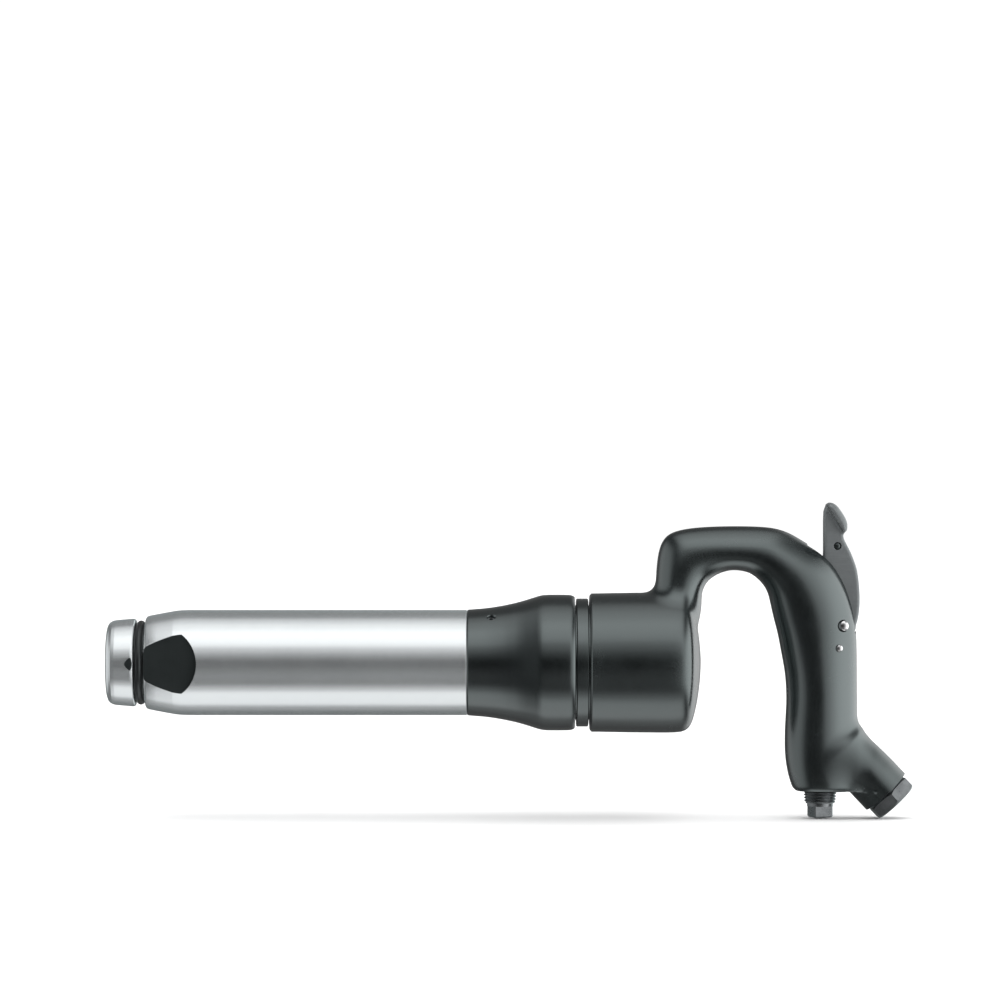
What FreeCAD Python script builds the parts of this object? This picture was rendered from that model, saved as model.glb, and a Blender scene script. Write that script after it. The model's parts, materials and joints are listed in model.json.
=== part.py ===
import FreeCAD, Part
import os
import math
import Sketcher
from FreeCAD import Vector, Placement, Rotation

# Pneumatic riveting hammer with a gooseneck handle and an outside thumb lever.
# Frame: origin at the centre of the rivet-set bore on the nose's front face,
# +X from the nose to the grip, +Z from the barrel up to the handle's arch,
# the XZ plane is the tool's plane of symmetry.  Millimetres.

doc = FreeCAD.newDocument("rivet_hammer")
doc.UndoMode = 0

# ---------------------------------------------------------------- dimensions
sheet = doc.addObject("Spreadsheet::Sheet", "Dims")
DIMS = [
    ("set_bore_rad", 15.6), ("set_bore_len", 60.0), ("piston_bore_rad", 13.5),
    ("barrel_rad", 28.9), ("barrel_shoulder", 197.6), ("spigot_rad", 24.0),
    ("barrel_end", 262.0), ("collar_rad", 24.15), ("collar_end", 15.4),
    ("groove_rad", 20.4), ("groove_end", 21.2), ("flat_offset", 23.9),
    ("flat_end_center", 30.5), ("flat_mill_rad", 19.9),
    ("ring_rad", 21.6), ("ring_section", 1.2),
    ("chest_start", 197.6), ("chest_end", 256.7), ("chest_rad", 37.3),
    ("lock_start", 257.5), ("lock_end", 264.0), ("lock_rad", 35.2), ("lock_bore", 31.6),
    ("head_start", 264.8), ("head_rad", 38.4), ("head_spigot_start", 246.0), ("head_spigot_rad", 31.5),
    ("chamber_end", 300.0), ("plenum_end", 312.0), ("plenum_rad", 16.0),
    ("piston_rad", 13.44), ("piston_start", 190.0), ("piston_len", 68.0),
    ("seat_thick", 6.0), ("cage_len", 22.0), ("cap_thick", 8.0), ("gasket_thick", 2.0),
    ("main_valve_rad", 15.94), ("main_valve_bore", 10.0), ("cage_bore", 16.0),
    ("lever_thick", 9.2), ("slot_width", 10.0), ("thumb_pad_width", 20.0),
    ("pivot_x", 403.59), ("pivot_z", 20.46), ("pivot_rad", 2.8), ("pivot_hole", 3.4),
    ("small_pin_x", 401.0), ("small_pin_z", 8.25), ("small_pin_rad", 2.0),
    ("grip_bore_x", 391.6), ("grip_bore_rad", 8.4), ("grip_floor", -70.95),
    ("bush_low", -9.0), ("bush_top", 12.2), ("bush_bore", 5.6), ("stem_rad", 3.4), ("stem_guide", 3.45),
    ("stem_top", 15.3), ("valve_head_rad", 7.2), ("valve_head_thick", 4.0),
    ("spring_wire", 0.65), ("spring_coil", 5.4),
    ("plug_thread_rad", 8.4), ("plug_body_rad", 7.15), ("plug_square", 11.0),
    ("inlet_x", 427.65), ("inlet_z", -70.9), ("inlet_boss_rad", 14.25),
    ("inlet_thread_rad", 10.5), ("inlet_hex", 24.8), ("inlet_bore_rad", 7.9),
]
for row, (alias, value) in enumerate(DIMS, start=1):
    sheet.set("A%d" % row, alias)
    sheet.set("B%d" % row, repr(value))
    sheet.setAlias("B%d" % row, alias)
doc.recompute()


def dim(alias):
    return float(sheet.get(alias))


nodes = []          # the objects that become one STEP file each


# ------------------------------------------------------------------- helpers
def new_body(name):
    b = doc.addObject("PartDesign::Body", name)
    b.Label = name
    nodes.append(b)
    return b


def origin_plane(b, role):
    for f in b.Origin.OriginFeatures:
        if f.Role == role:
            return f
    raise RuntimeError("no plane " + role)


def new_sketch(b, role, name, offset=None):
    s = b.newObject("Sketcher::SketchObject", name)
    s.AttachmentSupport = [(origin_plane(b, role), "")]
    s.MapMode = "FlatFace"
    if offset is not None:
        s.AttachmentOffset = offset
    return s


def polygon(s, pts, bind=None):
    """Closed polygon whose corners are held by their distances from the origin."""
    n = len(pts)
    for i in range(n):
        a, b = pts[i], pts[(i + 1) % n]
        s.addGeometry(Part.LineSegment(Vector(a[0], a[1], 0), Vector(b[0], b[1], 0)), False)
    for i in range(n):
        s.addConstraint(Sketcher.Constraint("Coincident", i, 2, (i + 1) % n, 1))
    for i in range(n):
        for axis, kind in ((0, "DistanceX"), (1, "DistanceY")):
            k = s.addConstraint(Sketcher.Constraint(kind, i, 1, pts[i][axis]))
            if bind and (i, axis) in bind:
                s.setExpression("Constraints[%d]" % k, bind[(i, axis)])


def circle(s, cx, cy, r, bind_r=None, bind_x=None, bind_y=None):
    g = s.addGeometry(Part.Circle(Vector(cx, cy, 0), Vector(0, 0, 1), r), False)
    k = s.addConstraint(Sketcher.Constraint("Radius", g, r))
    if bind_r:
        s.setExpression("Constraints[%d]" % k, bind_r)
    kx = s.addConstraint(Sketcher.Constraint("DistanceX", g, 3, cx))
    ky = s.addConstraint(Sketcher.Constraint("DistanceY", g, 3, cy))
    if bind_x:
        s.setExpression("Constraints[%d]" % kx, bind_x)
    if bind_y:
        s.setExpression("Constraints[%d]" % ky, bind_y)
    return g


def revolve(b, name, pts, bind=None, groove=False, axis="H_Axis"):
    s = new_sketch(b, "XZ_Plane", name + "_sketch")
    polygon(s, pts, bind)
    f = b.newObject("PartDesign::Groove" if groove else "PartDesign::Revolution", name)
    f.Profile = s
    f.ReferenceAxis = (s, [axis])
    f.Angle = 360.0
    doc.recompute()
    return f


def prism(b, name, s, length=None, pocket=False, bind=None, midplane=True, through=False, reverse=False):
    f = b.newObject("PartDesign::Pocket" if pocket else "PartDesign::Pad", name)
    f.Profile = s
    if through:
        f.Type = 1
        f.Midplane = True
    else:
        f.Type = 0
        f.Length = length
        f.Midplane = midplane
        f.Reversed = reverse
        if bind:
            f.setExpression("Length", bind)
    doc.recompute()
    return f


def prim(kind, name, place=None, **props):
    o = doc.addObject(kind, name)
    for k, v in props.items():
        if isinstance(v, str):
            o.setExpression(k, v)
        else:
            setattr(o, k, v)
    if place is not None:
        o.Placement = place
    return o


ALONG_X = Rotation(Vector(0, 1, 0), 90)      # turns a primitive's Z axis onto +X
ALONG_Y = Rotation(Vector(1, 0, 0), -90)     # turns a primitive's Z axis onto +Y


def cyl_x(name, x0, length, r):
    """Cylinder on the barrel axis; numbers or sheet expressions."""
    o = prim("Part::Cylinder", name, Placement(Vector(0, 0, 0), ALONG_X), Radius=r, Height=length)
    if isinstance(x0, str):
        o.setExpression("Placement.Base.x", x0)
    else:
        o.Placement = Placement(Vector(x0, 0, 0), ALONG_X)
    return o


def boolean(kind, name, base, tool, keep=True):
    o = doc.addObject(kind, name)
    if kind == "Part::MultiFuse":
        o.Shapes = [base] + list(tool)
    else:
        o.Base = base
        o.Tool = tool
    return o


def node(o, label):
    o.Label = label
    nodes.append(o)
    return o


# ------------------------------------------------------------------- barrel
# Ground steel barrel: nose collar, retainer groove, tapered nose with two
# wrench flats, plain body, and a threaded spigot that the chest and the
# handle screw on to.
barrel = new_body("barrel")
revolve(barrel, "barrel_turned", [
    (0.0, 15.6), (0.0, 19.5), (0.66, 21.3), (1.65, 22.3), (3.0, 23.0), (4.95, 23.38), (8.8, 23.72),
    (13.9, 24.15), (15.0, 23.95), (15.4, 23.4), (15.4, 20.4), (21.2, 20.4), (21.2, 24.5), (21.7, 25.3),
    (22.8, 25.75), (28.6, 26.9), (37.1, 28.45), (40.5, 28.78), (44.5, 28.9),
    (197.2, 28.9), (197.6, 28.5), (197.6, 24.0), (261.0, 24.0), (262.0, 23.0), (262.0, 13.5),
    (62.1, 13.5), (60.0, 15.6)],
    {(0, 1): "Dims.set_bore_rad", (26, 0): "Dims.set_bore_len", (26, 1): "Dims.set_bore_rad",
     (25, 1): "Dims.piston_bore_rad", (24, 1): "Dims.piston_bore_rad", (24, 0): "Dims.barrel_end",
     (18, 1): "Dims.barrel_rad", (19, 1): "Dims.barrel_rad", (20, 0): "Dims.barrel_shoulder",
     (21, 0): "Dims.barrel_shoulder", (21, 1): "Dims.spigot_rad", (22, 1): "Dims.spigot_rad",
     (7, 1): "Dims.collar_rad", (9, 0): "Dims.collar_end", (10, 0): "Dims.collar_end",
     (10, 1): "Dims.groove_rad", (11, 0): "Dims.groove_end", (11, 1): "Dims.groove_rad",
     (12, 0): "Dims.groove_end"})
for side, tag in ((1, "near"), (-1, "far")):
    s = new_sketch(barrel, "XZ_Plane", "flat_" + tag + "_sketch", Placement(Vector(0, 0, side * 23.9), Rotation()))
    s.setExpression("AttachmentOffset.Base.z", "%sDims.flat_offset" % ("" if side > 0 else "-"))
    mill = 19.9
    s.addGeometry(Part.LineSegment(Vector(30.5, mill, 0), Vector(-2, mill, 0)), False)
    s.addGeometry(Part.LineSegment(Vector(-2, mill, 0), Vector(-2, -mill, 0)), False)
    s.addGeometry(Part.LineSegment(Vector(-2, -mill, 0), Vector(30.5, -mill, 0)), False)
    s.addGeometry(Part.ArcOfCircle(Part.Circle(Vector(30.5, 0, 0), Vector(0, 0, 1), mill), -math.pi / 2, math.pi / 2), False)
    for a, pa, b_, pb in ((0, 2, 1, 1), (1, 2, 2, 1), (2, 2, 3, 1), (3, 2, 0, 1)):
        s.addConstraint(Sketcher.Constraint("Coincident", a, pa, b_, pb))
    k = s.addConstraint(Sketcher.Constraint("Radius", 3, mill))
    s.setExpression("Constraints[%d]" % k, "Dims.flat_mill_rad")
    k = s.addConstraint(Sketcher.Constraint("DistanceX", 3, 3, 30.5))
    s.setExpression("Constraints[%d]" % k, "Dims.flat_end_center")
    s.addConstraint(Sketcher.Constraint("DistanceY", 3, 3, 0.0))
    s.addConstraint(Sketcher.Constraint("Vertical", 1))
    s.addConstraint(Sketcher.Constraint("Horizontal", 0))
    s.addConstraint(Sketcher.Constraint("Horizontal", 2))
    s.addConstraint(Sketcher.Constraint("DistanceX", 1, 1, -2.0))
    v0 = barrel.Shape.Volume
    prism(barrel, "flat_" + tag, s, 20.0, pocket=True, midplane=False, reverse=(side > 0))
    assert 50 < v0 - barrel.Shape.Volume < 20000, (tag, v0 - barrel.Shape.Volume)


# ------------------------------------------------------------------- handle
# One hollow casting: round head, neck, top bar, grip and inlet boss.
# Each section of the gooseneck is a closed egg-shaped curve in a plane that
# holds the Y direction: (outer x, z), (inner x, z), half width in Y, fullness.
GOOSENECK = [
    ((299.5, 16.0), (322.5, 16.0), 19.0, 2.3),
    ((300.6, 27.0), (325.6, 27.0), 17.6, 2.3),
    ((300.9, 38.5), (326.6, 37.0), 16.6, 2.3),
    ((301.6, 50.5), (327.6, 40.8), 16.0, 2.3),
    ((303.0, 61.5), (329.8, 44.6), 15.9, 2.3),
    ((306.6, 69.0), (333.0, 47.2), 15.8, 2.3),
    ((313.6, 72.6), (336.8, 49.2), 15.8, 2.3),
    ((325.8, 74.4), (341.0, 50.5), 15.8, 2.3),
    ((343.0, 75.0), (345.0, 50.8), 15.9, 2.3),
    ((358.5, 74.7), (350.2, 50.1), 16.1, 2.3),
    ((367.5, 73.6), (354.6, 48.2), 16.3, 2.3),
    ((375.0, 71.0), (358.2, 45.2), 16.6, 2.25),
    ((383.0, 66.3), (361.2, 41.6), 16.9, 2.25),
    ((391.4, 60.9), (363.0, 37.8), 17.1, 2.25),
    ((398.6, 54.4), (364.0, 34.0), 17.2, 2.2),
    ((404.6, 44.8), (365.2, 28.4), 17.3, 2.2),
    ((408.6, 34.0), (366.6, 22.6), 17.3, 2.2),
    ((411.0, 22.5), (368.4, 15.6), 17.2, 2.15),
    ((411.8, 8.0), (370.2, 6.0), 17.0, 2.05),
    ((411.9, -8.0), (372.4, -6.5), 16.9, 2.0),
    ((412.0, -22.0), (373.1, -20.5), 16.9, 2.0),
    ((412.0, -36.0), (372.3, -36.0), 16.9, 2.05),
    ((411.5, -50.0), (372.3, -50.0), 17.0, 2.15),
    ((410.5, -62.0), (374.2, -62.0), 16.8, 2.3),
    ((409.0, -70.95), (377.3, -70.95), 16.2, 2.35),
]
SECTION_POINTS = 24


def egg_section(s, half_long, half_wide, fullness):
    """Closed smooth curve, half_long along the sketch's x, half_wide along y."""
    pts = []
    for i in range(SECTION_POINTS):
        t = 2 * math.pi * i / SECTION_POINTS
        c, d = math.cos(t), math.sin(t)
        e = 2.0 / fullness
        pts.append(Vector(math.copysign(abs(c) ** e, c) * half_long, math.copysign(abs(d) ** e, d) * half_wide, 0))
    curve = Part.BSplineCurve()
    curve.interpolate(Points=pts, PeriodicFlag=True)
    s.addGeometry(curve, False)


handle = new_body("handle")
revolve(handle, "head", [
    (246.0, 24.0), (246.0, 31.0), (246.5, 31.5), (264.8, 31.5), (264.8, 36.6), (265.8, 37.8), (270.0, 38.1),
    (292.0, 38.5), (312.5, 38.4), (316.3, 37.7), (318.8, 36.2), (320.4, 34.0), (321.6, 31.0),
    (322.9, 26.0), (324.2, 19.5), (325.2, 12.0), (325.8, 5.0), (326.0, 0.0),
    (280.0, 0.0), (280.0, 24.0)],
    {(0, 0): "Dims.head_spigot_start", (0, 1): "Dims.spigot_rad", (1, 0): "Dims.head_spigot_start",
     (2, 1): "Dims.head_spigot_rad", (3, 0): "Dims.head_start", (3, 1): "Dims.head_spigot_rad",
     (4, 0): "Dims.head_start", (8, 1): "Dims.head_rad", (19, 1): "Dims.spigot_rad"})
sections = []
for i, (po, pi_, wide, full) in enumerate(GOOSENECK):
    cx, cz = (po[0] + pi_[0]) / 2, (po[1] + pi_[1]) / 2
    dx, dz = pi_[0] - po[0], pi_[1] - po[1]
    turn = math.degrees(math.atan2(-dz, dx))
    place = Placement(Vector(cx, 0, cz), Rotation(Vector(0, 1, 0), turn))
    s = new_sketch(handle, "XY_Plane", "gooseneck_%02d" % i, place)
    egg_section(s, math.hypot(dx, dz) / 2, wide, full)
    sections.append(s)
doc.recompute()
for name, first, last in (("neck_and_arch", 0, 8), ("bend_and_grip", 8, len(sections) - 1)):
    loft = handle.newObject("PartDesign::AdditiveLoft", name)
    loft.Profile = sections[first]
    loft.Sections = sections[first + 1:last + 1]
    loft.Ruled = False
    doc.recompute()

# inlet boss: a short round neck, tilted down and back, that fades into the grip
BOSS = Vector(0.689, 0.0, -0.7247)
BOSS_TURN = math.degrees(math.atan2(BOSS.x, BOSS.z))
boss_sections = []
for i, (back, rad) in enumerate(((33.0, 13.0), (24.0, 14.2), (12.0, 14.6), (2.2, 14.55), (0.0, 14.1))):
    place = Placement(Vector(427.65 - BOSS.x * back, 0, -70.9 - BOSS.z * back), Rotation(Vector(0, 1, 0), BOSS_TURN))
    s = new_sketch(handle, "XY_Plane", "inlet_boss_%d" % i, place)
    circle(s, 0, 0, rad)
    boss_sections.append(s)
doc.recompute()
boss = handle.newObject("PartDesign::AdditiveLoft", "inlet_boss")
boss.Profile = boss_sections[0]
boss.Sections = boss_sections[1:]
boss.Ruled = True
doc.recompute()


def drill(b, name, start, direction, length, rad, bind=None):
    """Round hole from a point along a direction, cut from body b."""
    d = Vector(*direction)
    d.normalize()
    s = new_sketch(b, "XY_Plane", name + "_sketch", Placement(Vector(*start), Rotation(Vector(0, 0, 1), d * -1)))
    circle(s, 0, 0, rad, bind)
    doc.recompute()
    before = b.Shape.Volume
    f = b.newObject("PartDesign::Pocket", name)
    f.Profile = s
    f.Type = 0
    f.Length = length
    doc.recompute()
    assert before - b.Shape.Volume > 1.0, name
    return f


revolve(handle, "valve_chamber", [(240.0, 0.0), (240.0, 24.0), (300.0, 24.0), (300.0, 16.0), (312.0, 16.0), (312.0, 0.0)],
        {(1, 1): "Dims.spigot_rad", (2, 0): "Dims.chamber_end", (2, 1): "Dims.spigot_rad",
         (3, 0): "Dims.chamber_end", (3, 1): "Dims.plenum_rad", (4, 0): "Dims.plenum_end",
         (4, 1): "Dims.plenum_rad", (5, 0): "Dims.plenum_end"}, groove=True)
revolve(handle, "seal_groove", [(249.6, 29.1), (249.6, 33.0), (252.4, 33.0), (252.4, 29.1)], groove=True)
drill(handle, "valve_bore", (391.6, 0, -80.0), (0, 0, 1), 89.6, 8.4, "Dims.grip_bore_rad")
drill(handle, "stem_hole", (391.6, 0, 5.0), (0, 0, 1), 10.0, 4.0)
drill(handle, "inlet_thread", (427.65 + 4 * BOSS.x, 0, -70.9 + 4 * BOSS.z), (-BOSS.x, 0, -BOSS.z), 20.0, 10.5, "Dims.inlet_thread_rad")
drill(handle, "inlet_hole", (427.65, 0, -70.9), (-BOSS.x, 0, -BOSS.z), 50.0, 7.9, "Dims.inlet_bore_rad")
drill(handle, "air_port", (391.6, 0, 0.0), (-1, 0, 0), 12.6, 3.2)
drill(handle, "air_way_grip", (380.4, 0, -4.0), (-11.4, 0, 56.0), 57.0, 4.2)
drill(handle, "air_way_bend", (371.0, 0, 48.5), (-18.0, 0, 14.0), 23.0, 4.2)
drill(handle, "air_way_bar", (356.0, 0, 62.5), (-1, 0, 0), 45.0, 4.2)
drill(handle, "air_way_neck", (313.0, 0, 64.5), (-3.5, 0, -56.0), 56.0, 4.2)
drill(handle, "pivot_hole_near", (403.59, -30, 20.46), (0, 1, 0), 60.0, 2.85)
drill(handle, "pivot_recess_near", (403.59, -30, 20.46), (0, 1, 0), 18.4, 3.4, "Dims.pivot_hole")
drill(handle, "pivot_recess_far", (403.59, 30, 20.46), (0, -1, 0), 18.4, 3.4, "Dims.pivot_hole")
drill(handle, "small_pin_hole", (401.0, -30, 8.25), (0, 1, 0), 60.0, 2.05)

# slot for the lever's blade: open at the back of the grip
slot = new_sketch(handle, "XZ_Plane", "lever_slot_sketch")
polygon(slot, [(384.4, 90.0), (384.4, 12.7), (398.0, 12.7), (404.0, 20.46), (425.0, 20.46), (425.0, 90.0)])
prism(handle, "lever_slot", slot, 10.0, pocket=True, bind="Dims.slot_width")
slot2 = new_sketch(handle, "XZ_Plane", "lever_boss_clearance_sketch")
circle(slot2, 403.59, 20.46, 8.35)
prism(handle, "lever_boss_clearance", slot2, 10.0, pocket=True, bind="Dims.slot_width")
print("handle", handle.Shape.Volume, handle.Shape.isValid(), len(handle.Shape.Solids))

# -------------------------------------------------------------- throttle lever
# Flat blade on a pivot pin, with a wide thumb pad at the top and a round
# toe that pushes the throttle valve's stem down.
lever = new_body("throttle_lever")


def spline_through(s, pts):
    curve = Part.BSplineCurve()
    curve.interpolate([Vector(x, z, 0) for x, z in pts])
    return s.addGeometry(curve, False)


BLADE_FRONT = [(393.6, 83.2), (393.4, 78.0), (393.4, 60.5)]
blade = new_sketch(lever, "XZ_Plane", "blade_sketch")
back = [(406.9, 71.6), (404.2, 71.4), (404.35, 68.4), (405.5, 66.0), (406.95, 63.65), (408.05, 61.1), (409.1, 58.5),
        (410.1, 56.0), (411.0, 53.4), (411.75, 50.75), (412.3, 48.05), (412.65, 45.3), (412.9, 42.55), (413.15, 39.8),
        (413.25, 34.3), (413.0, 28.8), (412.3, 24.0), (411.25, 20.46)]
blade_pts = [(396.2, 86.6), (394.4, 85.4), (393.6, 83.2), (393.4, 78.0), (393.4, 60.5), (392.6, 50.0), (388.9, 28.0), (386.6, 20.46)]
for a, b_ in zip(blade_pts, blade_pts[1:]):
    blade.addGeometry(Part.LineSegment(Vector(a[0], a[1], 0), Vector(b_[0], b_[1], 0)), False)
blade.addGeometry(Part.ArcOfCircle(Part.Circle(Vector(391.6, 20.46, 0), Vector(0, 0, 1), 5.0), math.pi, 1.5 * math.pi + 0.35), False)
end = (391.6 + 5.0 * math.cos(1.5 * math.pi + 0.35), 20.46 + 5.0 * math.sin(1.5 * math.pi + 0.35))
start = (403.59 + 7.66 * math.cos(math.pi * 1.22), 20.46 + 7.66 * math.sin(math.pi * 1.22))
blade.addGeometry(Part.LineSegment(Vector(end[0], end[1], 0), Vector(start[0], start[1], 0)), False)
blade.addGeometry(Part.ArcOfCircle(Part.Circle(Vector(403.59, 20.46, 0), Vector(0, 0, 1), 7.66), math.pi * 1.22, 2 * math.pi), False)
rising = [(411.25, 20.46), (412.1, 23.5), (412.75, 27.0), (413.2, 32.0), (413.25, 36.0), (413.1, 40.0), (412.8, 43.8), (412.3, 47.8),
          (411.4, 52.0), (409.9, 56.5), (408.0, 61.1), (405.8, 65.4), (404.5, 68.2), (404.3, 70.6), (405.3, 73.2)]
spline_through(blade, rising)
blade.addGeometry(Part.LineSegment(Vector(405.3, 73.2, 0), Vector(396.2, 86.6, 0)), False)
doc.recompute()
prism(lever, "blade", blade, 9.2, bind="Dims.lever_thick")
print("blade", lever.Shape.Volume, lever.Shape.isValid())
pad = new_sketch(lever, "XZ_Plane", "thumb_pad_sketch")
pad_curve = [(404.4, 72.0), (405.9, 73.0), (406.4, 76.0), (405.6, 79.0), (404.3, 81.4), (402.8, 83.7), (401.1, 85.9), (399.0, 87.5), (396.6, 87.9), (395.2, 86.9)]
spline_through(pad, pad_curve)
pad.addGeometry(Part.LineSegment(Vector(395.2, 86.9, 0), Vector(404.4, 72.0, 0)), False)
doc.recompute()
prism(lever, "thumb_pad", pad, 20.0, bind="Dims.thumb_pad_width")
drill(lever, "pivot_hole", (403.59, -30, 20.46), (0, 1, 0), 60.0, 2.86)
drill(lever, "lever_hole", (400.95, -30, 64.1), (0, 1, 0), 60.0, 2.1)
print("lever", lever.Shape.Volume, lever.Shape.isValid(), len(lever.Shape.Solids))

# --------------------------------------------------------------- valve chest
# Black flared sleeve between the barrel and the handle's head.
chest = new_body("valve_chest")
revolve(chest, "chest_turned", [
    (197.6, 24.0), (197.6, 28.6), (198.2, 29.1), (201.85, 29.4), (205.15, 29.65), (208.45, 29.98), (211.75, 30.4),
    (215.05, 30.97), (218.35, 31.5), (221.65, 32.2), (224.95, 32.95), (228.25, 33.9), (231.55, 34.9), (234.85, 36.0),
    (238.15, 36.9), (241.45, 37.2), (246.0, 37.3), (251.35, 37.3), (254.65, 37.1), (256.2, 36.5), (256.7, 35.8),
    (256.7, 31.5), (246.0, 31.5), (246.0, 24.0)],
    {(0, 0): "Dims.chest_start", (0, 1): "Dims.spigot_rad", (1, 0): "Dims.chest_start",
     (16, 1): "Dims.chest_rad", (17, 1): "Dims.chest_rad", (20, 0): "Dims.chest_end", (21, 0): "Dims.chest_end",
     (21, 1): "Dims.head_spigot_rad", (22, 1): "Dims.head_spigot_rad", (22, 0): "Dims.head_spigot_start",
     (23, 0): "Dims.head_spigot_start", (23, 1): "Dims.spigot_rad"})
SCREW_ANGLE = math.radians(56.9)
SCREW_DIR = Vector(0, -math.cos(SCREW_ANGLE), math.sin(SCREW_ANGLE))
drill(chest, "set_screw_hole", (210.7, SCREW_DIR.y * 40, SCREW_DIR.z * 40), (0, -SCREW_DIR.y, -SCREW_DIR.z), 20.0, 2.2)

# set screw: plain cylinder with a hexagon socket, seated on the barrel's spigot
screw_body = prim("Part::Cylinder", "set_screw_body", None, Radius=2.2, Height=4.6)
screw_socket = prim("Part::Prism", "set_screw_socket", Placement(Vector(0, 0, 2.6), Rotation()), Polygon=6, Circumradius=1.15, Height=3.0)
screw = boolean("Part::Cut", "chest_set_screw", screw_body, screw_socket)
screw.Placement = Placement(Vector(210.7, SCREW_DIR.y * 24.15, SCREW_DIR.z * 24.15), Rotation(Vector(0, 0, 1), SCREW_DIR))
node(screw, "chest_set_screw")

# rubber O-ring on the handle's spigot
oring = prim("Part::Torus", "chest_seal_ring", Placement(Vector(251.0, 0, 0), ALONG_X), Radius1=30.28, Radius2=1.18)
node(oring, "chest_seal_ring")

# split lock ring in the groove between chest and head
lock_outer = cyl_x("lock_outer", 257.5, 6.5, "Dims.lock_rad")
lock_inner = cyl_x("lock_inner", 250.0, 20.0, "Dims.lock_bore")
lock_full = boolean("Part::Cut", "lock_full", lock_outer, lock_inner)
lock_gap = prim("Part::Box", "lock_gap", Placement(Vector(250, 20, -6), Rotation()), Length=20, Width=20, Height=1.6)
lock = boolean("Part::Cut", "lock_ring", lock_full, lock_gap)
node(lock, "lock_ring")

# -------------------------------------------------- barrel's own inner pieces
ring = prim("Part::Torus", "retainer_core", Placement(Vector(18.3, 0, 0), ALONG_X), Radius1=20.95, Radius2=2.2)
ring_band = cyl_x("retainer_band", 15.6, 5.4, 22.0)
ring_sum = boolean("Part::MultiFuse", "retainer_sum", ring, [ring_band])
ring_hole = cyl_x("retainer_hole", 10.0, 20.0, 20.4)
ring_hole.setExpression("Radius", "Dims.groove_rad")
retainer = boolean("Part::Cut", "retainer_ring", ring_sum, ring_hole)
node(retainer, "retainer_ring")

piston = new_body("piston")
revolve(piston, "piston_turned", [(190.0, 0.0), (190.0, 11.5), (192.0, 13.44), (206.0, 13.44), (206.4, 13.0), (207.6, 13.0),
                                  (208.0, 13.44), (240.0, 13.44), (240.4, 13.0), (241.6, 13.0), (242.0, 13.44),
                                  (256.5, 13.44), (258.0, 12.0), (258.0, 0.0)],
        {(0, 0): "Dims.piston_start", (1, 0): "Dims.piston_start", (2, 1): "Dims.piston_rad", (3, 1): "Dims.piston_rad",
         (6, 1): "Dims.piston_rad", (7, 1): "Dims.piston_rad", (10, 1): "Dims.piston_rad", (11, 1): "Dims.piston_rad"})

# ------------------------------------------------------------ valve box stack
def plate(name, x0, thick, hole, radius=24.0):
    o = cyl_x(name + "_disc", x0, thick, radius)
    tools = [cyl_x(name + "_hole", x0 - 1, thick + 2, hole)]
    for k in range(2):
        a = math.radians(90 + 180 * k)
        tools.append(prim("Part::Cylinder", "%s_dowel_%d" % (name, k),
                          Placement(Vector(x0 - 1, 20.0 * math.cos(a), 20.0 * math.sin(a)), ALONG_X), Radius=2.0, Height=thick + 2))
    return o, tools


def cut_all(name, base, tools):
    f = doc.addObject("Part::MultiFuse", name + "_tools")
    f.Shapes = tools
    return boolean("Part::Cut", name, base, f)


base, tools = plate("seat", 262.0, 6.0, 11.0)
for k in range(4):
    a = math.radians(45 + 90 * k)
    tools.append(prim("Part::Cylinder", "seat_port_%d" % k,
                      Placement(Vector(261, 17.5 * math.cos(a), 17.5 * math.sin(a)), ALONG_X), Radius=1.8, Height=8))
node(cut_all("valve_seat_plate", base, tools), "valve_seat_plate")
base, tools = plate("cage", 268.0, 22.0, 16.0)
for k in range(4):
    a = math.radians(45 + 90 * k)
    tools.append(prim("Part::Cylinder", "cage_port_%d" % k,
                      Placement(Vector(267, 19.5 * math.cos(a), 19.5 * math.sin(a)), ALONG_X), Radius=1.8, Height=24))
node(cut_all("valve_cage", base, tools), "valve_cage")
base, tools = plate("cap", 290.0, 8.0, 7.0)
node(cut_all("valve_cap", base, tools), "valve_cap")
washer_disc = cyl_x("washer_disc", 298.0, 2.0, 24.0)
washer_hole = cyl_x("washer_hole", 297.0, 4.0, 16.0)
node(boolean("Part::Cut", "valve_box_washer", washer_disc, washer_hole), "valve_box_washer")
pins = []
for k in range(2):
    a = math.radians(90 + 180 * k)
    pins.append(prim("Part::Cylinder", "dowel_%d" % k, Placement(Vector(262.5, 20.0 * math.cos(a), 20.0 * math.sin(a)), ALONG_X), Radius=2.0, Height=35.0))
dowels = doc.addObject("Part::Compound", "dowel_pins")
dowels.Links = pins
node(dowels, "dowel_pins")

valve_outer = cyl_x("main_valve_outer", 270.2, 15.6, "Dims.main_valve_rad")
valve_inner = cyl_x("main_valve_inner", 268.0, 30.0, "Dims.main_valve_bore")
valve_cut = boolean("Part::Cut", "main_valve_sleeve", valve_outer, valve_inner)
waist_a = cyl_x("waist_a", 275.0, 6.0, 18.0)
waist_b = cyl_x("waist_b", 274.0, 8.0, 13.4)
waist = boolean("Part::Cut", "main_valve_waist", waist_a, waist_b)
main_valve = boolean("Part::Cut", "main_valve", valve_cut, waist)
node(main_valve, "main_valve")

# ------------------------------------------------------------ throttle parts
def cyl_z(name, x, z0, length, r):
    return prim("Part::Cylinder", name, Placement(Vector(x, 0, z0), Rotation()), Radius=r, Height=length)


def cyl_y(name, x, z, half, r):
    return prim("Part::Cylinder", name, Placement(Vector(x, -half, z), ALONG_Y), Radius=r, Height=2 * half)


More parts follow.
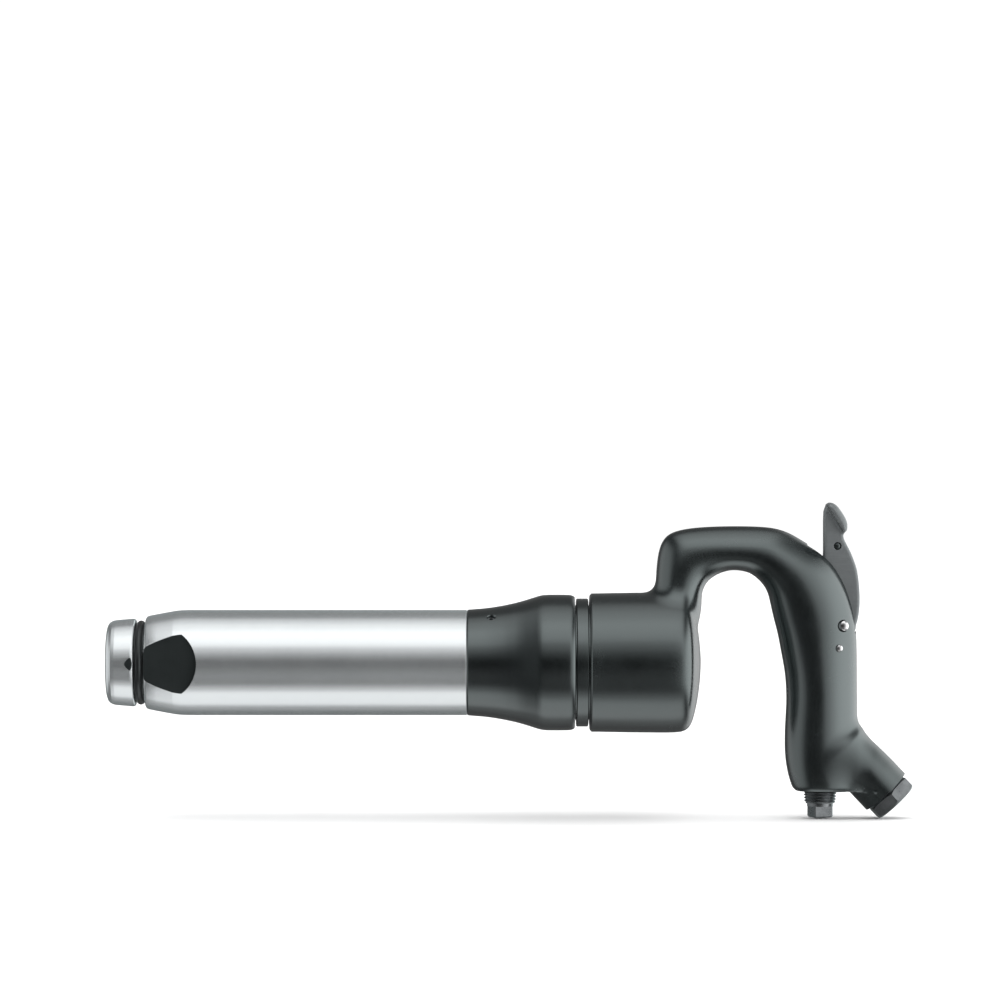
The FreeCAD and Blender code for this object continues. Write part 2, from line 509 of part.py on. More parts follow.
pivot = new_body("lever_pivot_pin")
revolve_pin = new_sketch(pivot, "XY_Plane", "pivot_pin_sketch", Placement(Vector(403.59, 0, 20.46), Rotation()))
polygon(revolve_pin, [(0.0, -13.0), (1.9, -12.8), (2.8, -12.1), (2.8, 12.1), (1.9, 12.8), (0.0, 13.0)],
        {(2, 0): "Dims.pivot_rad", (3, 0): "Dims.pivot_rad"})
f = pivot.newObject("PartDesign::Revolution", "pivot_pin_turned")
f.Profile = revolve_pin
f.ReferenceAxis = (revolve_pin, ["V_Axis"])
f.Angle = 360.0
doc.recompute()

retaining = new_body("bushing_retaining_pin")
s = new_sketch(retaining, "XY_Plane", "retaining_pin_sketch", Placement(Vector(401.0, 0, 8.25), Rotation()))
polygon(s, [(0.0, -14.9), (1.3, -14.8), (2.0, -14.1), (2.0, 14.1), (1.3, 14.8), (0.0, 14.9)],
        {(2, 0): "Dims.small_pin_rad", (3, 0): "Dims.small_pin_rad"})
f = retaining.newObject("PartDesign::Revolution", "retaining_pin_turned")
f.Profile = s
f.ReferenceAxis = (s, ["V_Axis"])
f.Angle = 360.0
doc.recompute()

bush_body = cyl_z("bush_body", 391.6, -9.0, 18.5, 8.4)
bush_body.setExpression("Radius", "Dims.grip_bore_rad")
bush_low = cyl_z("bush_low", 391.6, -10.0, 14.0, 5.6)
bush_low.setExpression("Radius", "Dims.bush_bore")
bush_guide = cyl_z("bush_guide", 391.6, 0.0, 12.0, 3.45)
bush_guide.setExpression("Radius", "Dims.stem_guide")
bush_port = prim("Part::Cylinder", "bush_port", Placement(Vector(380.0, 0, 0.0), ALONG_X), Radius=2.8, Height=23.2)
bush_pin = cyl_y("bush_pin", 401.0, 8.25, 20.0, 2.05)
node(cut_all("throttle_valve_bushing", bush_body, [bush_low, bush_guide, bush_port, bush_pin]), "throttle_valve_bushing")

throttle = new_body("throttle_valve")
s = new_sketch(throttle, "XZ_Plane", "throttle_valve_sketch", Placement(Vector(391.6, 0, 0), Rotation()))
polygon(s, [(0.0, 15.3), (3.0, 15.3), (3.4, 14.9), (3.4, 2.0), (2.6, 1.0), (2.6, -10.2), (7.2, -10.2), (7.2, -14.2), (4.2, -14.2), (4.2, -20.0), (3.8, -20.4), (0.0, -20.4)],
        {(2, 0): "Dims.stem_rad", (3, 0): "Dims.stem_rad", (6, 0): "Dims.valve_head_rad", (7, 0): "Dims.valve_head_rad", (0, 1): "Dims.stem_top", (1, 1): "Dims.stem_top"})
f = throttle.newObject("PartDesign::Revolution", "throttle_valve_turned")
f.Profile = s
f.ReferenceAxis = (s, ["V_Axis"])
f.Angle = 360.0
doc.recompute()
seal_disc = cyl_z("seal_disc", 391.6, -10.2, 1.15, 7.2)
seal_hole = cyl_z("seal_hole", 391.6, -11.0, 3.0, 2.6)
node(boolean("Part::Cut", "throttle_valve_seal", seal_disc, seal_hole), "throttle_valve_seal")

# spring between the valve's head and the plug
SPRING_LOW, SPRING_TOP = -57.5, -15.0
helix = Part.makeHelix((SPRING_TOP - SPRING_LOW) / 9.0, SPRING_TOP - SPRING_LOW, dim("spring_coil"))
wire_at = Part.Wire([Part.Edge(Part.Circle(Vector(dim("spring_coil"), 0, 0), Vector(0, 1, 0.12), dim("spring_wire")))])
coil = Part.Wire(helix.Edges).makePipeShell([wire_at], True, True)
spring = doc.addObject("Part::Feature", "throttle_spring")
spring.Shape = coil
spring.Placement = Placement(Vector(391.6, 0, SPRING_LOW), Rotation())
node(spring, "throttle_spring")

# bottom plug: taper thread with three open crests, square head
plug = new_body("bottom_plug")
s = new_sketch(plug, "XZ_Plane", "plug_sketch", Placement(Vector(391.6, 0, 0), Rotation()))
polygon(s, [(0.0, -58.4), (8.0, -58.4), (8.4, -58.9), (8.4, -71.2), (9.05, -71.7), (8.3, -72.5), (8.95, -73.3), (8.2, -74.1),
            (8.85, -74.9), (8.1, -75.7), (8.7, -76.5), (8.3, -77.4), (7.15, -77.7), (7.15, -79.0), (0.0, -79.0)],
        {(2, 0): "Dims.plug_thread_rad", (3, 0): "Dims.plug_thread_rad", (12, 0): "Dims.plug_body_rad", (13, 0): "Dims.plug_body_rad"})
f = plug.newObject("PartDesign::Revolution", "plug_turned")
f.Profile = s
f.ReferenceAxis = (s, ["V_Axis"])
f.Angle = 360.0
doc.recompute()
s = new_sketch(plug, "XY_Plane", "plug_square_sketch", Placement(Vector(391.6, 0, -78.5), Rotation(Vector(0, 0, 1), 19)))
half = 5.5
polygon(s, [(-half, -half), (half, -half), (half, half), (-half, half)],
        {(0, 0): "-Dims.plug_square / 2", (0, 1): "-Dims.plug_square / 2", (1, 0): "Dims.plug_square / 2", (1, 1): "-Dims.plug_square / 2",
         (2, 0): "Dims.plug_square / 2", (2, 1): "Dims.plug_square / 2", (3, 0): "-Dims.plug_square / 2", (3, 1): "Dims.plug_square / 2"})
square = prism(plug, "plug_square", s, 6.5, midplane=False, reverse=True)
doc.recompute()
edges = ["Edge%d" % (i + 1) for i, e in enumerate(square.Shape.Edges)
         if abs(e.CenterOfMass.z + 85.0) < 1e-6 and e.Length > 5]
chamfer = plug.newObject("PartDesign::Chamfer", "plug_square_chamfer")
chamfer.Base = (square, edges)
chamfer.Size = 0.7
doc.recompute()

# inlet bushing: hexagon with a threaded nose in the boss, female thread inside
hex_turn = Rotation(Vector(0, 0, 1), BOSS)


def on_boss(distance):
    return Placement(Vector(427.65 + BOSS.x * distance, 0, -70.9 + BOSS.z * distance), hex_turn)


bushing_nose = prim("Part::Cylinder", "bushing_nose", on_boss(-14.8), Radius="Dims.inlet_thread_rad", Height=15.1)
bushing_neck = prim("Part::Cylinder", "bushing_neck", on_boss(-1.0), Radius=9.8, Height=3.0)
hexagon = prim("Part::Prism", "bushing_hexagon", on_boss(1.2), Polygon=6, Height=7.2)
hexagon.setExpression("Circumradius", "Dims.inlet_hex / sqrt(3)")
hex_cone = prim("Part::Cone", "bushing_hex_cone", on_boss(1.2), Radius1=19.6, Radius2=12.4, Height=7.2)
hex_turned = boolean("Part::Common", "bushing_hex_turned", hexagon, hex_cone)
hexagon.Placement = on_boss(1.2).multiply(Placement(Vector(), Rotation(Vector(0, 0, 1), 4)))
bushing_sum = doc.addObject("Part::MultiFuse", "bushing_sum")
bushing_sum.Shapes = [bushing_nose, bushing_neck, hex_turned]
bushing_bore = prim("Part::Cylinder", "bushing_bore", on_boss(-20.0), Radius="Dims.inlet_bore_rad", Height=40.0)
node(boolean("Part::Cut", "inlet_bushing", bushing_sum, bushing_bore), "inlet_bushing")

# strainer: short perforated cup behind the bushing
cup_outer = prim("Part::Cylinder", "cup_outer", on_boss(-20.3), Radius=7.8, Height=5.5)
cup_inner = prim("Part::Cylinder", "cup_inner", on_boss(-19.5), Radius=7.0, Height=8.0)
flange_outer = prim("Part::Cylinder", "flange_outer", on_boss(-16.0), Radius=9.8, Height=1.2)
cup_sum = boolean("Part::MultiFuse", "cup_sum", cup_outer, [flange_outer])
holes = [cup_inner]
for ring_rad, count in ((0.0, 1), (2.4, 6), (4.8, 12)):
    for k in range(count):
        a = 2 * math.pi * k / count
        p = on_boss(-21.0).multiply(Placement(Vector(ring_rad * math.cos(a), ring_rad * math.sin(a), 0), Rotation()))
        holes.append(prim("Part::Cylinder", "mesh_hole_%d_%d" % (count, k), p, Radius=0.7, Height=4.0))
node(cut_all("inlet_strainer", cup_sum, holes), "inlet_strainer")

# --------------------------------------------------------------- write files
doc.recompute()
for o in doc.Objects:
    if "Invalid" in o.State or "Error" in o.State:
        raise RuntimeError("object %s failed: %s" % (o.Name, o.State))
os.makedirs("parts", exist_ok=True)
for old in os.listdir("parts"):
    if old.endswith(".step"):
        os.remove(os.path.join("parts", old))
seen = set()
for o in nodes:
    shape = o.Shape
    if shape.isNull() or not shape.isValid() or shape.Volume <= 0 or o.Label in seen:
        raise RuntimeError("bad shape or label: " + o.Label)
    seen.add(o.Label)
    shape.exportStep("parts/%s.step" % o.Label)
    bb = shape.BoundBox
    print("%-26s solids %d volume %10.1f  x %.1f..%.1f y %.1f..%.1f z %.1f..%.1f" % (
        o.Label, len(shape.Solids), shape.Volume, bb.XMin, bb.XMax, bb.YMin, bb.YMax, bb.ZMin, bb.ZMax))
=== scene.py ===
import json
import math
import bpy
import bmesh
import numpy as np
from mathutils import Matrix, Vector

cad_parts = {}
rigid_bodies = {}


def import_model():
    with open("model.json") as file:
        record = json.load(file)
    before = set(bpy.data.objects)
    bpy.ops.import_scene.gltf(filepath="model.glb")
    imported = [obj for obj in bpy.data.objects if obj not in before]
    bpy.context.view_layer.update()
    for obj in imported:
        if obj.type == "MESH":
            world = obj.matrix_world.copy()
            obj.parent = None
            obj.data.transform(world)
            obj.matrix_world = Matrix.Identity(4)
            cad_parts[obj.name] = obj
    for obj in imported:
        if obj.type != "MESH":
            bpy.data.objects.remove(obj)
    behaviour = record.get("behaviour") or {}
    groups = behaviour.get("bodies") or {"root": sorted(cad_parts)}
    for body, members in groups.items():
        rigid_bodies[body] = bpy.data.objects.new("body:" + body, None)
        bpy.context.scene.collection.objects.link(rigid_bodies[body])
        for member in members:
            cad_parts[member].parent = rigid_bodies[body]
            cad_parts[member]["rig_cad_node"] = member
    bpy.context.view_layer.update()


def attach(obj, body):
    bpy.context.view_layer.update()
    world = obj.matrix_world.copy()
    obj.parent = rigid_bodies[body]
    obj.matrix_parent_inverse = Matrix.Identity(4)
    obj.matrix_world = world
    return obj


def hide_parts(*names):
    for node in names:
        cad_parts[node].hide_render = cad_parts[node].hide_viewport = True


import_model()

MM = 0.001
scene = bpy.context.scene


# ------------------------------------------------------------------ the stage
def make_camera():
    data = bpy.data.cameras.new("camera")
    data.sensor_width = 36.0
    data.lens = 154.8
    data.clip_start = 0.05
    data.clip_end = 50.0
    cam = bpy.data.objects.new("camera", data)
    cam.location = (0.2156, -2.365, 0.089375)
    cam.rotation_euler = (math.radians(90), 0, 0)
    scene.collection.objects.link(cam)
    scene.camera = cam


def area_light(name, location, target, size_x, size_y, radiance, colour=(1, 1, 1)):
    data = bpy.data.lights.new(name, "AREA")
    data.shape = "RECTANGLE"
    data.size = size_x
    data.size_y = size_y
    data.energy = radiance * math.pi * size_x * size_y
    data.color = colour
    o = bpy.data.objects.new(name, data)
    o.location = location
    o.rotation_euler = (Vector(target) - Vector(location)).to_track_quat("-Z", "Y").to_euler()
    o.visible_camera = False
    scene.collection.objects.link(o)
    return o


# --------------------------------------------------- fields and their surfaces
def smooth_min(a, b, k):
    h = np.clip(0.5 + 0.5 * (b - a) / k, 0.0, 1.0)
    return b + (a - b) * h - k * h * (1.0 - h)


def smooth_max(a, b, k):
    return -smooth_min(-a, -b, k)


class Table:
    """A function of two lengths, worked out on a fine grid and read between its points."""

    def __init__(self, x0, x1, y0, y1, step, values_of):
        self.x0, self.y0, self.step = x0, y0, step
        xs = np.arange(x0, x1 + step, step)
        ys = np.arange(y0, y1 + step, step)
        gx, gy = np.meshgrid(xs, ys, indexing="ij")
        self.layers = [np.asarray(v, np.float64).reshape(gx.shape) for v in values_of(gx.ravel(), gy.ravel())]
        self.nx, self.ny = gx.shape

    def __call__(self, x, y):
        fx = np.clip((x - self.x0) / self.step, 0, self.nx - 1.001)
        fy = np.clip((y - self.y0) / self.step, 0, self.ny - 1.001)
        ix, iy = fx.astype(np.int32), fy.astype(np.int32)
        tx, ty = fx - ix, fy - iy
        out = []
        for v in self.layers:
            out.append((v[ix, iy] * (1 - tx) + v[ix + 1, iy] * tx) * (1 - ty) + (v[ix, iy + 1] * (1 - tx) + v[ix + 1, iy + 1] * tx) * ty)
        return out


def polygon_distance(px, py, poly):
    """Signed distance to a closed polygon, negative inside."""
    poly = np.asarray(poly, float)
    best = np.full(px.shape, 1e9)
    inside = np.zeros(px.shape, bool)
    n = len(poly)
    for i in range(n):
        a, b = poly[i], poly[(i + 1) % n]
        e = b - a
        wx, wy = px - a[0], py - a[1]
        t = np.clip((wx * e[0] + wy * e[1]) / max(e @ e, 1e-12), 0, 1)
        best = np.minimum(best, (wx - e[0] * t) ** 2 + (wy - e[1] * t) ** 2)
        cond = (a[1] > py) != (b[1] > py)
        if cond.any():
            xi = a[0] + (py - a[1]) / (b[1] - a[1] if b[1] != a[1] else 1e-12) * e[0]
            inside ^= cond & (px < xi)
    d = np.sqrt(best)
    return np.where(inside, -d, d)


def surface_of(field, low, high, step, polish=3):
    """Closed quad surface where the field is zero (surface nets, then moved on to the zero level)."""
    axes = [np.arange(low[i], high[i] + step, step) for i in range(3)]
    nx, ny, nz = (len(a) for a in axes)
    f = np.empty((nx, ny, nz), np.float32)
    for i0 in range(0, nx, 16):
        i1 = min(nx, i0 + 16)
        gx, gy, gz = np.meshgrid(axes[0][i0:i1], axes[1], axes[2], indexing="ij")
        f[i0:i1] = field(gx.ravel(), gy.ravel(), gz.ravel()).reshape(gx.shape)
    s = f < 0
    corners = [(a, b, c) for a in (0, 1) for b in (0, 1) for c in (0, 1)]
    count = np.zeros((nx - 1, ny - 1, nz - 1), np.int8)
    for a, b, c in corners:
        count += s[a:nx - 1 + a, b:ny - 1 + b, c:nz - 1 + c]
    active = (count > 0) & (count < 8)
    idx = np.argwhere(active)
    number = np.full(active.shape, -1, np.int64)
    number[tuple(idx.T)] = np.arange(len(idx))
    total = np.zeros((len(idx), 3))
    hits = np.zeros(len(idx))
    vals = {c: f[idx[:, 0] + c[0], idx[:, 1] + c[1], idx[:, 2] + c[2]].astype(float) for c in corners}
    for c in corners:
        for axis in range(3):
            if c[axis]:
                continue
            d = list(c)
            d[axis] = 1
            va, vb = vals[c], vals[tuple(d)]
            cross = (va < 0) != (vb < 0)
            t = np.where(cross, va / np.where(cross, va - vb, 1.0), 0.0)
            p = np.array(c, float)[None, :].repeat(len(idx), 0)
            p[:, axis] += t
            total += np.where(cross[:, None], p, 0)
            hits += cross
    verts = (idx + total / hits[:, None]) * step + np.array([a[0] for a in axes])
    quads = []
    for axis in range(3):
        u, v = (axis + 1) % 3, (axis + 2) % 3
        sl0, sl1 = [slice(None)] * 3, [slice(None)] * 3
        sl0[axis], sl1[axis] = slice(0, -1), slice(1, None)
        cross = s[tuple(sl0)] != s[tuple(sl1)]
        e = np.argwhere(cross)
        ok = (e[:, u] > 0) & (e[:, v] > 0) & (e[:, u] < f.shape[u] - 1) & (e[:, v] < f.shape[v] - 1)
        e = e[ok]
        ring = []
        for du, dv in ((-1, -1), (0, -1), (0, 0), (-1, 0)):
            c = e.copy()
            c[:, u] += du
            c[:, v] += dv
            ring.append(number[tuple(c.T)])
        ring = np.stack(ring, 1)
        starts_inside = s[tuple(e.T)]
        ring[~starts_inside] = ring[~starts_inside][:, ::-1]
        quads.append(ring)
    quads = np.concatenate(quads)
    eps = step * 0.25
    for _ in range(polish):
        x, y, z = verts.T
        g = np.stack([
            field(x + eps, y, z) - field(x - eps, y, z),
            field(x, y + eps, z) - field(x, y - eps, z),
            field(x, y, z + eps) - field(x, y, z - eps)], 1) / (2 * eps)
        value = field(x, y, z)
        move = -value[:, None] * g / np.maximum((g * g).sum(1), 0.05)[:, None]
        length = np.linalg.norm(move, axis=1)
        verts = verts + move * np.minimum(1.0, 0.6 * step / np.maximum(length, 1e-9))[:, None]
    return verts, quads


def mesh_object(name, verts, faces, scale=MM):
    me = bpy.data.meshes.new(name)
    verts = np.asarray(verts, float) * scale
    me.from_pydata(verts.tolist(), [], [list(map(int, f)) for f in faces])
    me.validate()
    me.update()
    o = bpy.data.objects.new(name, me)
    scene.collection.objects.link(o)
    return o


def relax(o, rounds, factor=0.5):
    """Evens out the mesh without moving it off its surface much."""
    bm = bmesh.new()
    bm.from_mesh(o.data)
    for _ in range(rounds):
        bmesh.ops.smooth_vert(bm, verts=bm.verts, factor=factor, use_axis_x=True, use_axis_y=True, use_axis_z=True)
    bm.to_mesh(o.data)
    bm.free()


def shade(o, angle=32.0):
    """Smooth shading with edges sharper than the angle kept crisp."""
    me = o.data
    me.polygons.foreach_set("use_smooth", np.ones(len(me.polygons), bool))
    bm = bmesh.new()
    bm.from_mesh(me)
    limit = math.radians(angle)
    for e in bm.edges:
        e.smooth = not (len(e.link_faces) == 2 and e.calc_face_angle(0.0) > limit)
    bm.to_mesh(me)
    bm.free()
    me.update()


def apply_boolean(o, cutter, operation="DIFFERENCE", keep=False):
    m = o.modifiers.new("bool", "BOOLEAN")
    m.operation = operation
    m.solver = "MANIFOLD"
    m.object = cutter
    bpy.context.view_layer.update()
    deps = bpy.context.evaluated_depsgraph_get()
    new = bpy.data.meshes.new_from_object(o.evaluated_get(deps), preserve_all_data_layers=True, depsgraph=deps)
    before, after = len(o.data.vertices), len(new.vertices)
    o.modifiers.clear()
    old = o.data
    o.data = new
    bpy.data.meshes.remove(old)
    if not keep:
        me = cutter.data
        bpy.data.objects.remove(cutter)
        bpy.data.meshes.remove(me)
    if after == before or after == 0:
        raise RuntimeError("boolean on %s changed nothing (%d -> %d)" % (o.name, before, after))
    return o


def cylinder(name, start, direction, length, rad, segments=64, rad_end=None):
    """Closed cylinder or cone, millimetres, from start along direction."""
    d = Vector(direction).normalized()
    side = d.orthogonal().normalized()
    up = d.cross(side)
    start = Vector(start)
    rad_end = rad if rad_end is None else rad_end
    verts, n = [], segments
    for t, r in ((0, rad), (length, rad_end)):
        for i in range(n):
            a = 2 * math.pi * i / n
            verts.append(start + d * t + side * (r * math.cos(a)) + up * (r * math.sin(a)))
    faces = [list(range(n))[::-1], list(range(n, 2 * n))]
    faces += [[i, (i + 1) % n, n + (i + 1) % n, n + i] for i in range(n)]
    return mesh_object(name, [list(v) for v in verts], faces)


def prism_xz(name, outline, y0, y1):
    """Outline in the XZ plane (x, z), extruded from y0 to y1."""
    n = len(outline)
    area = sum(outline[i][0] * outline[(i + 1) % n][1] - outline[(i + 1) % n][0] * outline[i][1] for i in range(n))
    pts = list(outline) if area > 0 else list(outline)[::-1]
    verts = [(x, y0, z) for x, z in pts] + [(x, y1, z) for x, z in pts]
    faces = [list(range(n)), list(range(n, 2 * n))[::-1]]
    faces += [[(i + 1) % n, i, n + i, n + (i + 1) % n] for i in range(n)]
    return mesh_object(name, verts, faces)


def lathe(name, profile, segments=256):
    """Closed ring or solid of revolution about X from a closed profile of (x, r) with r >= 0."""
    pts = [(float(x), max(float(r), 0.0)) for x, r in profile]
    a = np.arange(segments) * 2 * math.pi / segments
    verts, rows = [], []
    for x, r in pts:
        if r < 1e-6:
            rows.append([len(verts)])
            verts.append((x, 0.0, 0.0))
        else:
            rows.append(list(range(len(verts), len(verts) + segments)))
            verts.extend(zip([x] * segments, (-r * np.cos(a)).tolist(), (r * np.sin(a)).tolist()))
    faces = []
    n = len(pts)
    for k in range(n):
        p, q = rows[k], rows[(k + 1) % n]
        if len(p) == 1 and len(q) == 1:
            continue
        for i in range(segments):
            j = (i + 1) % segments
            if len(p) == 1:
                faces.append([p[0], q[j], q[i]])
            elif len(q) == 1:
                faces.append([p[i], p[j], q[0]])
            else:
                faces.append([p[i], p[j], q[j], q[i]])
    o = mesh_object(name, verts, faces)
    bm = bmesh.new()
    bm.from_mesh(o.data)
    bmesh.ops.recalc_face_normals(bm, faces=bm.faces)
    if bm.calc_volume(signed=True) < 0:
        bmesh.ops.reverse_faces(bm, faces=bm.faces)
    bm.to_mesh(o.data)
    bm.free()
    return o


def spline(points, samples, closed=False):
    """Centripetal Catmull-Rom curve through points, evenly sampled along its length."""
    p = np.asarray(points, float)
    if closed:
        p = np.vstack([p[-1], p, p[0], p[1]])
    else:
        p = np.vstack([2 * p[0] - p[1], p, 2 * p[-1] - p[-2]])
    out = []
    for i in range(1, len(p) - 2):
        p0, p1, p2, p3 = p[i - 1], p[i], p[i + 1], p[i + 2]
        t0 = 0.0
        t1 = t0 + max(np.linalg.norm(p1 - p0), 1e-9) ** 0.5
        t2 = t1 + max(np.linalg.norm(p2 - p1), 1e-9) ** 0.5
        t3 = t2 + max(np.linalg.norm(p3 - p2), 1e-9) ** 0.5
        t = np.linspace(t1, t2, 24, endpoint=False)[:, None]
        a1 = (t1 - t) / (t1 - t0) * p0 + (t - t0) / (t1 - t0) * p1
        a2 = (t2 - t) / (t2 - t1) * p1 + (t - t1) / (t2 - t1) * p2
        a3 = (t3 - t) / (t3 - t2) * p2 + (t - t2) / (t3 - t2) * p3
        b1 = (t2 - t) / (t2 - t0) * a1 + (t - t0) / (t2 - t0) * a2
        b2 = (t3 - t) / (t3 - t1) * a2 + (t - t1) / (t3 - t1) * a3
        out.append((t2 - t) / (t2 - t1) * b1 + (t - t1) / (t2 - t1) * b2)
    out = np.vstack(out + [p[-2][None, :]])
    length = np.concatenate([[0], np.cumsum(np.linalg.norm(np.diff(out, axis=0), axis=1))])
    at = np.linspace(0, length[-1], samples)
    return np.stack([np.interp(at, length, out[:, k]) for k in range(p.shape[1])], 1)


def rounded_profile(points):
    """Profile of (x, r, fillet radius) corners turned into a list of (x, r) with arcs."""
    out = []
    n = len(points)
    for i in range(n):
        x, r, rad = points[i]
        p = np.array([x, r])
        if rad <= 0:
            out.append((x, r))
            continue
        a = np.array(points[i - 1][:2]) - p
        b = np.array(points[(i + 1) % n][:2]) - p
        la, lb = np.linalg.norm(a), np.linalg.norm(b)
        a, b = a / la, b / lb
        angle = math.acos(float(np.clip(a @ b, -1, 1)))
        cut = min(rad / math.tan(angle / 2), 0.49 * la, 0.49 * lb)
        rad = cut * math.tan(angle / 2)
        centre = p + (a + b) / np.linalg.norm(a + b) * rad / math.sin(angle / 2)
        s, e = p + a * cut - centre, p + b * cut - centre
        t0, t1 = math.atan2(s[1], s[0]), math.atan2(e[1], e[0])
        d = (t1 - t0 + math.pi) % (2 * math.pi) - math.pi
        steps = max(3, int(abs(d) / math.radians(9)) + 1)
        for k in range(steps + 1):
            t = t0 + d * k / steps
            out.append((centre[0] + rad * math.cos(t), centre[1] + rad * math.sin(t)))
    return out


# ------------------------------------------------------------ the hollow handle
# outer point, inner point (x, z), half width and fullness of each section of
# the neck, arch and grip
GOOSENECK = [
    ((299.5, 16.0), (322.5, 16.0), 19.0, 2.3), ((300.6, 27.0), (325.6, 27.0), 17.6, 2.3),
    ((300.9, 38.5), (326.6, 37.0), 16.6, 2.3), ((301.6, 50.5), (327.6, 40.8), 16.0, 2.3),
    ((303.0, 61.5), (329.8, 44.6), 15.9, 2.3), ((306.6, 69.0), (333.0, 47.2), 15.8, 2.3),
    ((313.6, 72.6), (336.8, 49.2), 15.8, 2.3), ((325.8, 74.4), (341.0, 50.5), 15.8, 2.3),
    ((343.0, 75.0), (345.0, 50.8), 15.9, 2.3), ((358.5, 74.7), (350.2, 50.1), 16.1, 2.3),
    ((367.5, 73.6), (354.6, 48.2), 16.3, 2.3), ((375.0, 71.0), (358.2, 45.2), 16.6, 2.25),
    ((383.0, 66.3), (361.2, 41.6), 16.9, 2.25), ((391.4, 60.9), (363.0, 37.8), 17.1, 2.25),
    ((398.6, 54.4), (364.0, 34.0), 17.2, 2.2), ((404.6, 44.8), (365.2, 28.4), 17.3, 2.2),
    ((408.6, 34.0), (366.6, 22.6), 17.3, 2.2), ((411.0, 22.5), (368.4, 15.6), 17.2, 2.15),
    ((411.8, 8.0), (370.2, 6.0), 17.0, 2.05), ((411.9, -8.0), (372.4, -6.5), 16.9, 2.0),
    ((412.0, -22.0), (373.1, -20.5), 16.9, 2.0), ((412.0, -36.0), (372.3, -36.0), 16.9, 2.05),
    ((411.5, -50.0), (372.3, -50.0), 17.0, 2.15), ((410.5, -62.0), (374.2, -62.0), 16.8, 2.3),
    ((409.0, -70.95), (377.3, -70.95), 16.2, 2.35)]
# how far each section's widest place lies from its middle towards the inner side
EGG = [0.0, 0.0, 0.02, 0.05, 0.10, 0.15, 0.20, 0.24, 0.26, 0.26, 0.25, 0.24, 0.22, 0.20, 0.18, 0.16,
       0.14, 0.12, 0.11, 0.10, 0.10, 0.10, 0.08, 0.05, 0.02]
HEAD = [
    (260.0, 38.05), (270.0, 38.1), (292.0, 38.45), (312.5, 38.35), (316.3, 37.7), (318.8, 36.2), (320.4, 34.0),
    (321.6, 31.0), (322.9, 26.0), (324.2, 19.5), (325.2, 12.0), (325.8, 5.0), (326.0, 0.0)]
BOSS = np.array([0.689, 0.0, -0.7247])
BOSS_FACE = np.array([427.65, 0.0, -70.9])


def natural_curve(rows, per=24):
    """Rows of values read smoothly at per steps between neighbours (Catmull-Rom, evenly timed)."""
    p = np.asarray(rows, float)
    p = np.vstack([2 * p[0] - p[1], p, 2 * p[-1] - p[-2]])
    out = []
    for i in range(1, len(p) - 2):
        t = np.linspace(0, 1, per, endpoint=False)[:, None]
        a, b, c, d = p[i - 1], p[i], p[i + 1], p[i + 2]
        out.append(0.5 * (2 * b + (c - a) * t + (2 * a - 5 * b + 4 * c - d) * t ** 2 + (3 * b - a - 3 * c + d) * t ** 3))
    return np.vstack(out + [p[-2][None, :]])


def smooth_rows(p, rounds):
    """Takes the last unevenness out of a row of values, keeping its ends."""
    for _ in range(rounds):
        p = np.vstack([p[:1], 0.25 * p[:-2] + 0.5 * p[1:-1] + 0.25 * p[2:], p[-1:]])
    return p


def gooseneck_table():
    rows = smooth_rows(natural_curve([(o[0], o[1], i[0], i[1], w, n, e) for (o, i, w, n), e in zip(GOOSENECK, EGG)], 20), 60)
    outer, inner, wide, full, egg = rows[:, 0:2], rows[:, 2:4], rows[:, 4], rows[:, 5], rows[:, 6]
    mid, half = (outer + inner) / 2, (inner - outer) / 2
    length = np.linalg.norm(half, axis=1)
    along = half / length[:, None]
    across = np.stack([-along[:, 1], along[:, 0]], 1)

    def values(x, z):
        p = np.stack([x, z], 1)
        best = np.full(len(x), 1e9)
        u = np.zeros(len(x))
        a, b, n, g = np.ones(len(x)), np.ones(len(x)), np.full(len(x), 2.3), np.zeros(len(x))
        off0 = (p - mid[0]) @ across[0]
        u0 = (p - mid[0]) @ along[0]
        for k in range(len(mid) - 1):
            off1 = (p - mid[k + 1]) @ across[k + 1]
            u1 = (p - mid[k + 1]) @ along[k + 1]
            t = off0 / np.where(np.abs(off0 - off1) < 1e-9, 1e-9, off0 - off1)
            um = u0 + (u1 - u0) * t
            am = length[k] + (length[k + 1] - length[k]) * t
            cost = np.abs(um) / am
            take = (off0 * off1 <= 0) & (cost < best) & (t >= 0) & (t <= 1)
            best = np.where(take, cost, best)
            u, a = np.where(take, um, u), np.where(take, am, a)
            b = np.where(take, wide[k] + (wide[k + 1] - wide[k]) * t, b)
            n = np.where(take, full[k] + (full[k + 1] - full[k]) * t, n)
            g = np.where(take, egg[k] + (egg[k + 1] - egg[k]) * t, g)
            off0, u0 = off1, u1
        none = best > 1e8
        first = np.linalg.norm(p - mid[0], axis=1) < np.linalg.norm(p - mid[-1], axis=1)
        for flag, k in ((none & first, 0), (none & ~first, len(mid) - 1)):
            u = np.where(flag, (p - mid[k]) @ along[k], u)
            a, b, n = np.where(flag, length[k], a), np.where(flag, wide[k], b), np.where(flag, full[k], n)
            g = np.where(flag, egg[k], g)
        return u, a, b, n, g

    return Table(280.0, 446.0, -100.0, 92.0, 0.8, values)


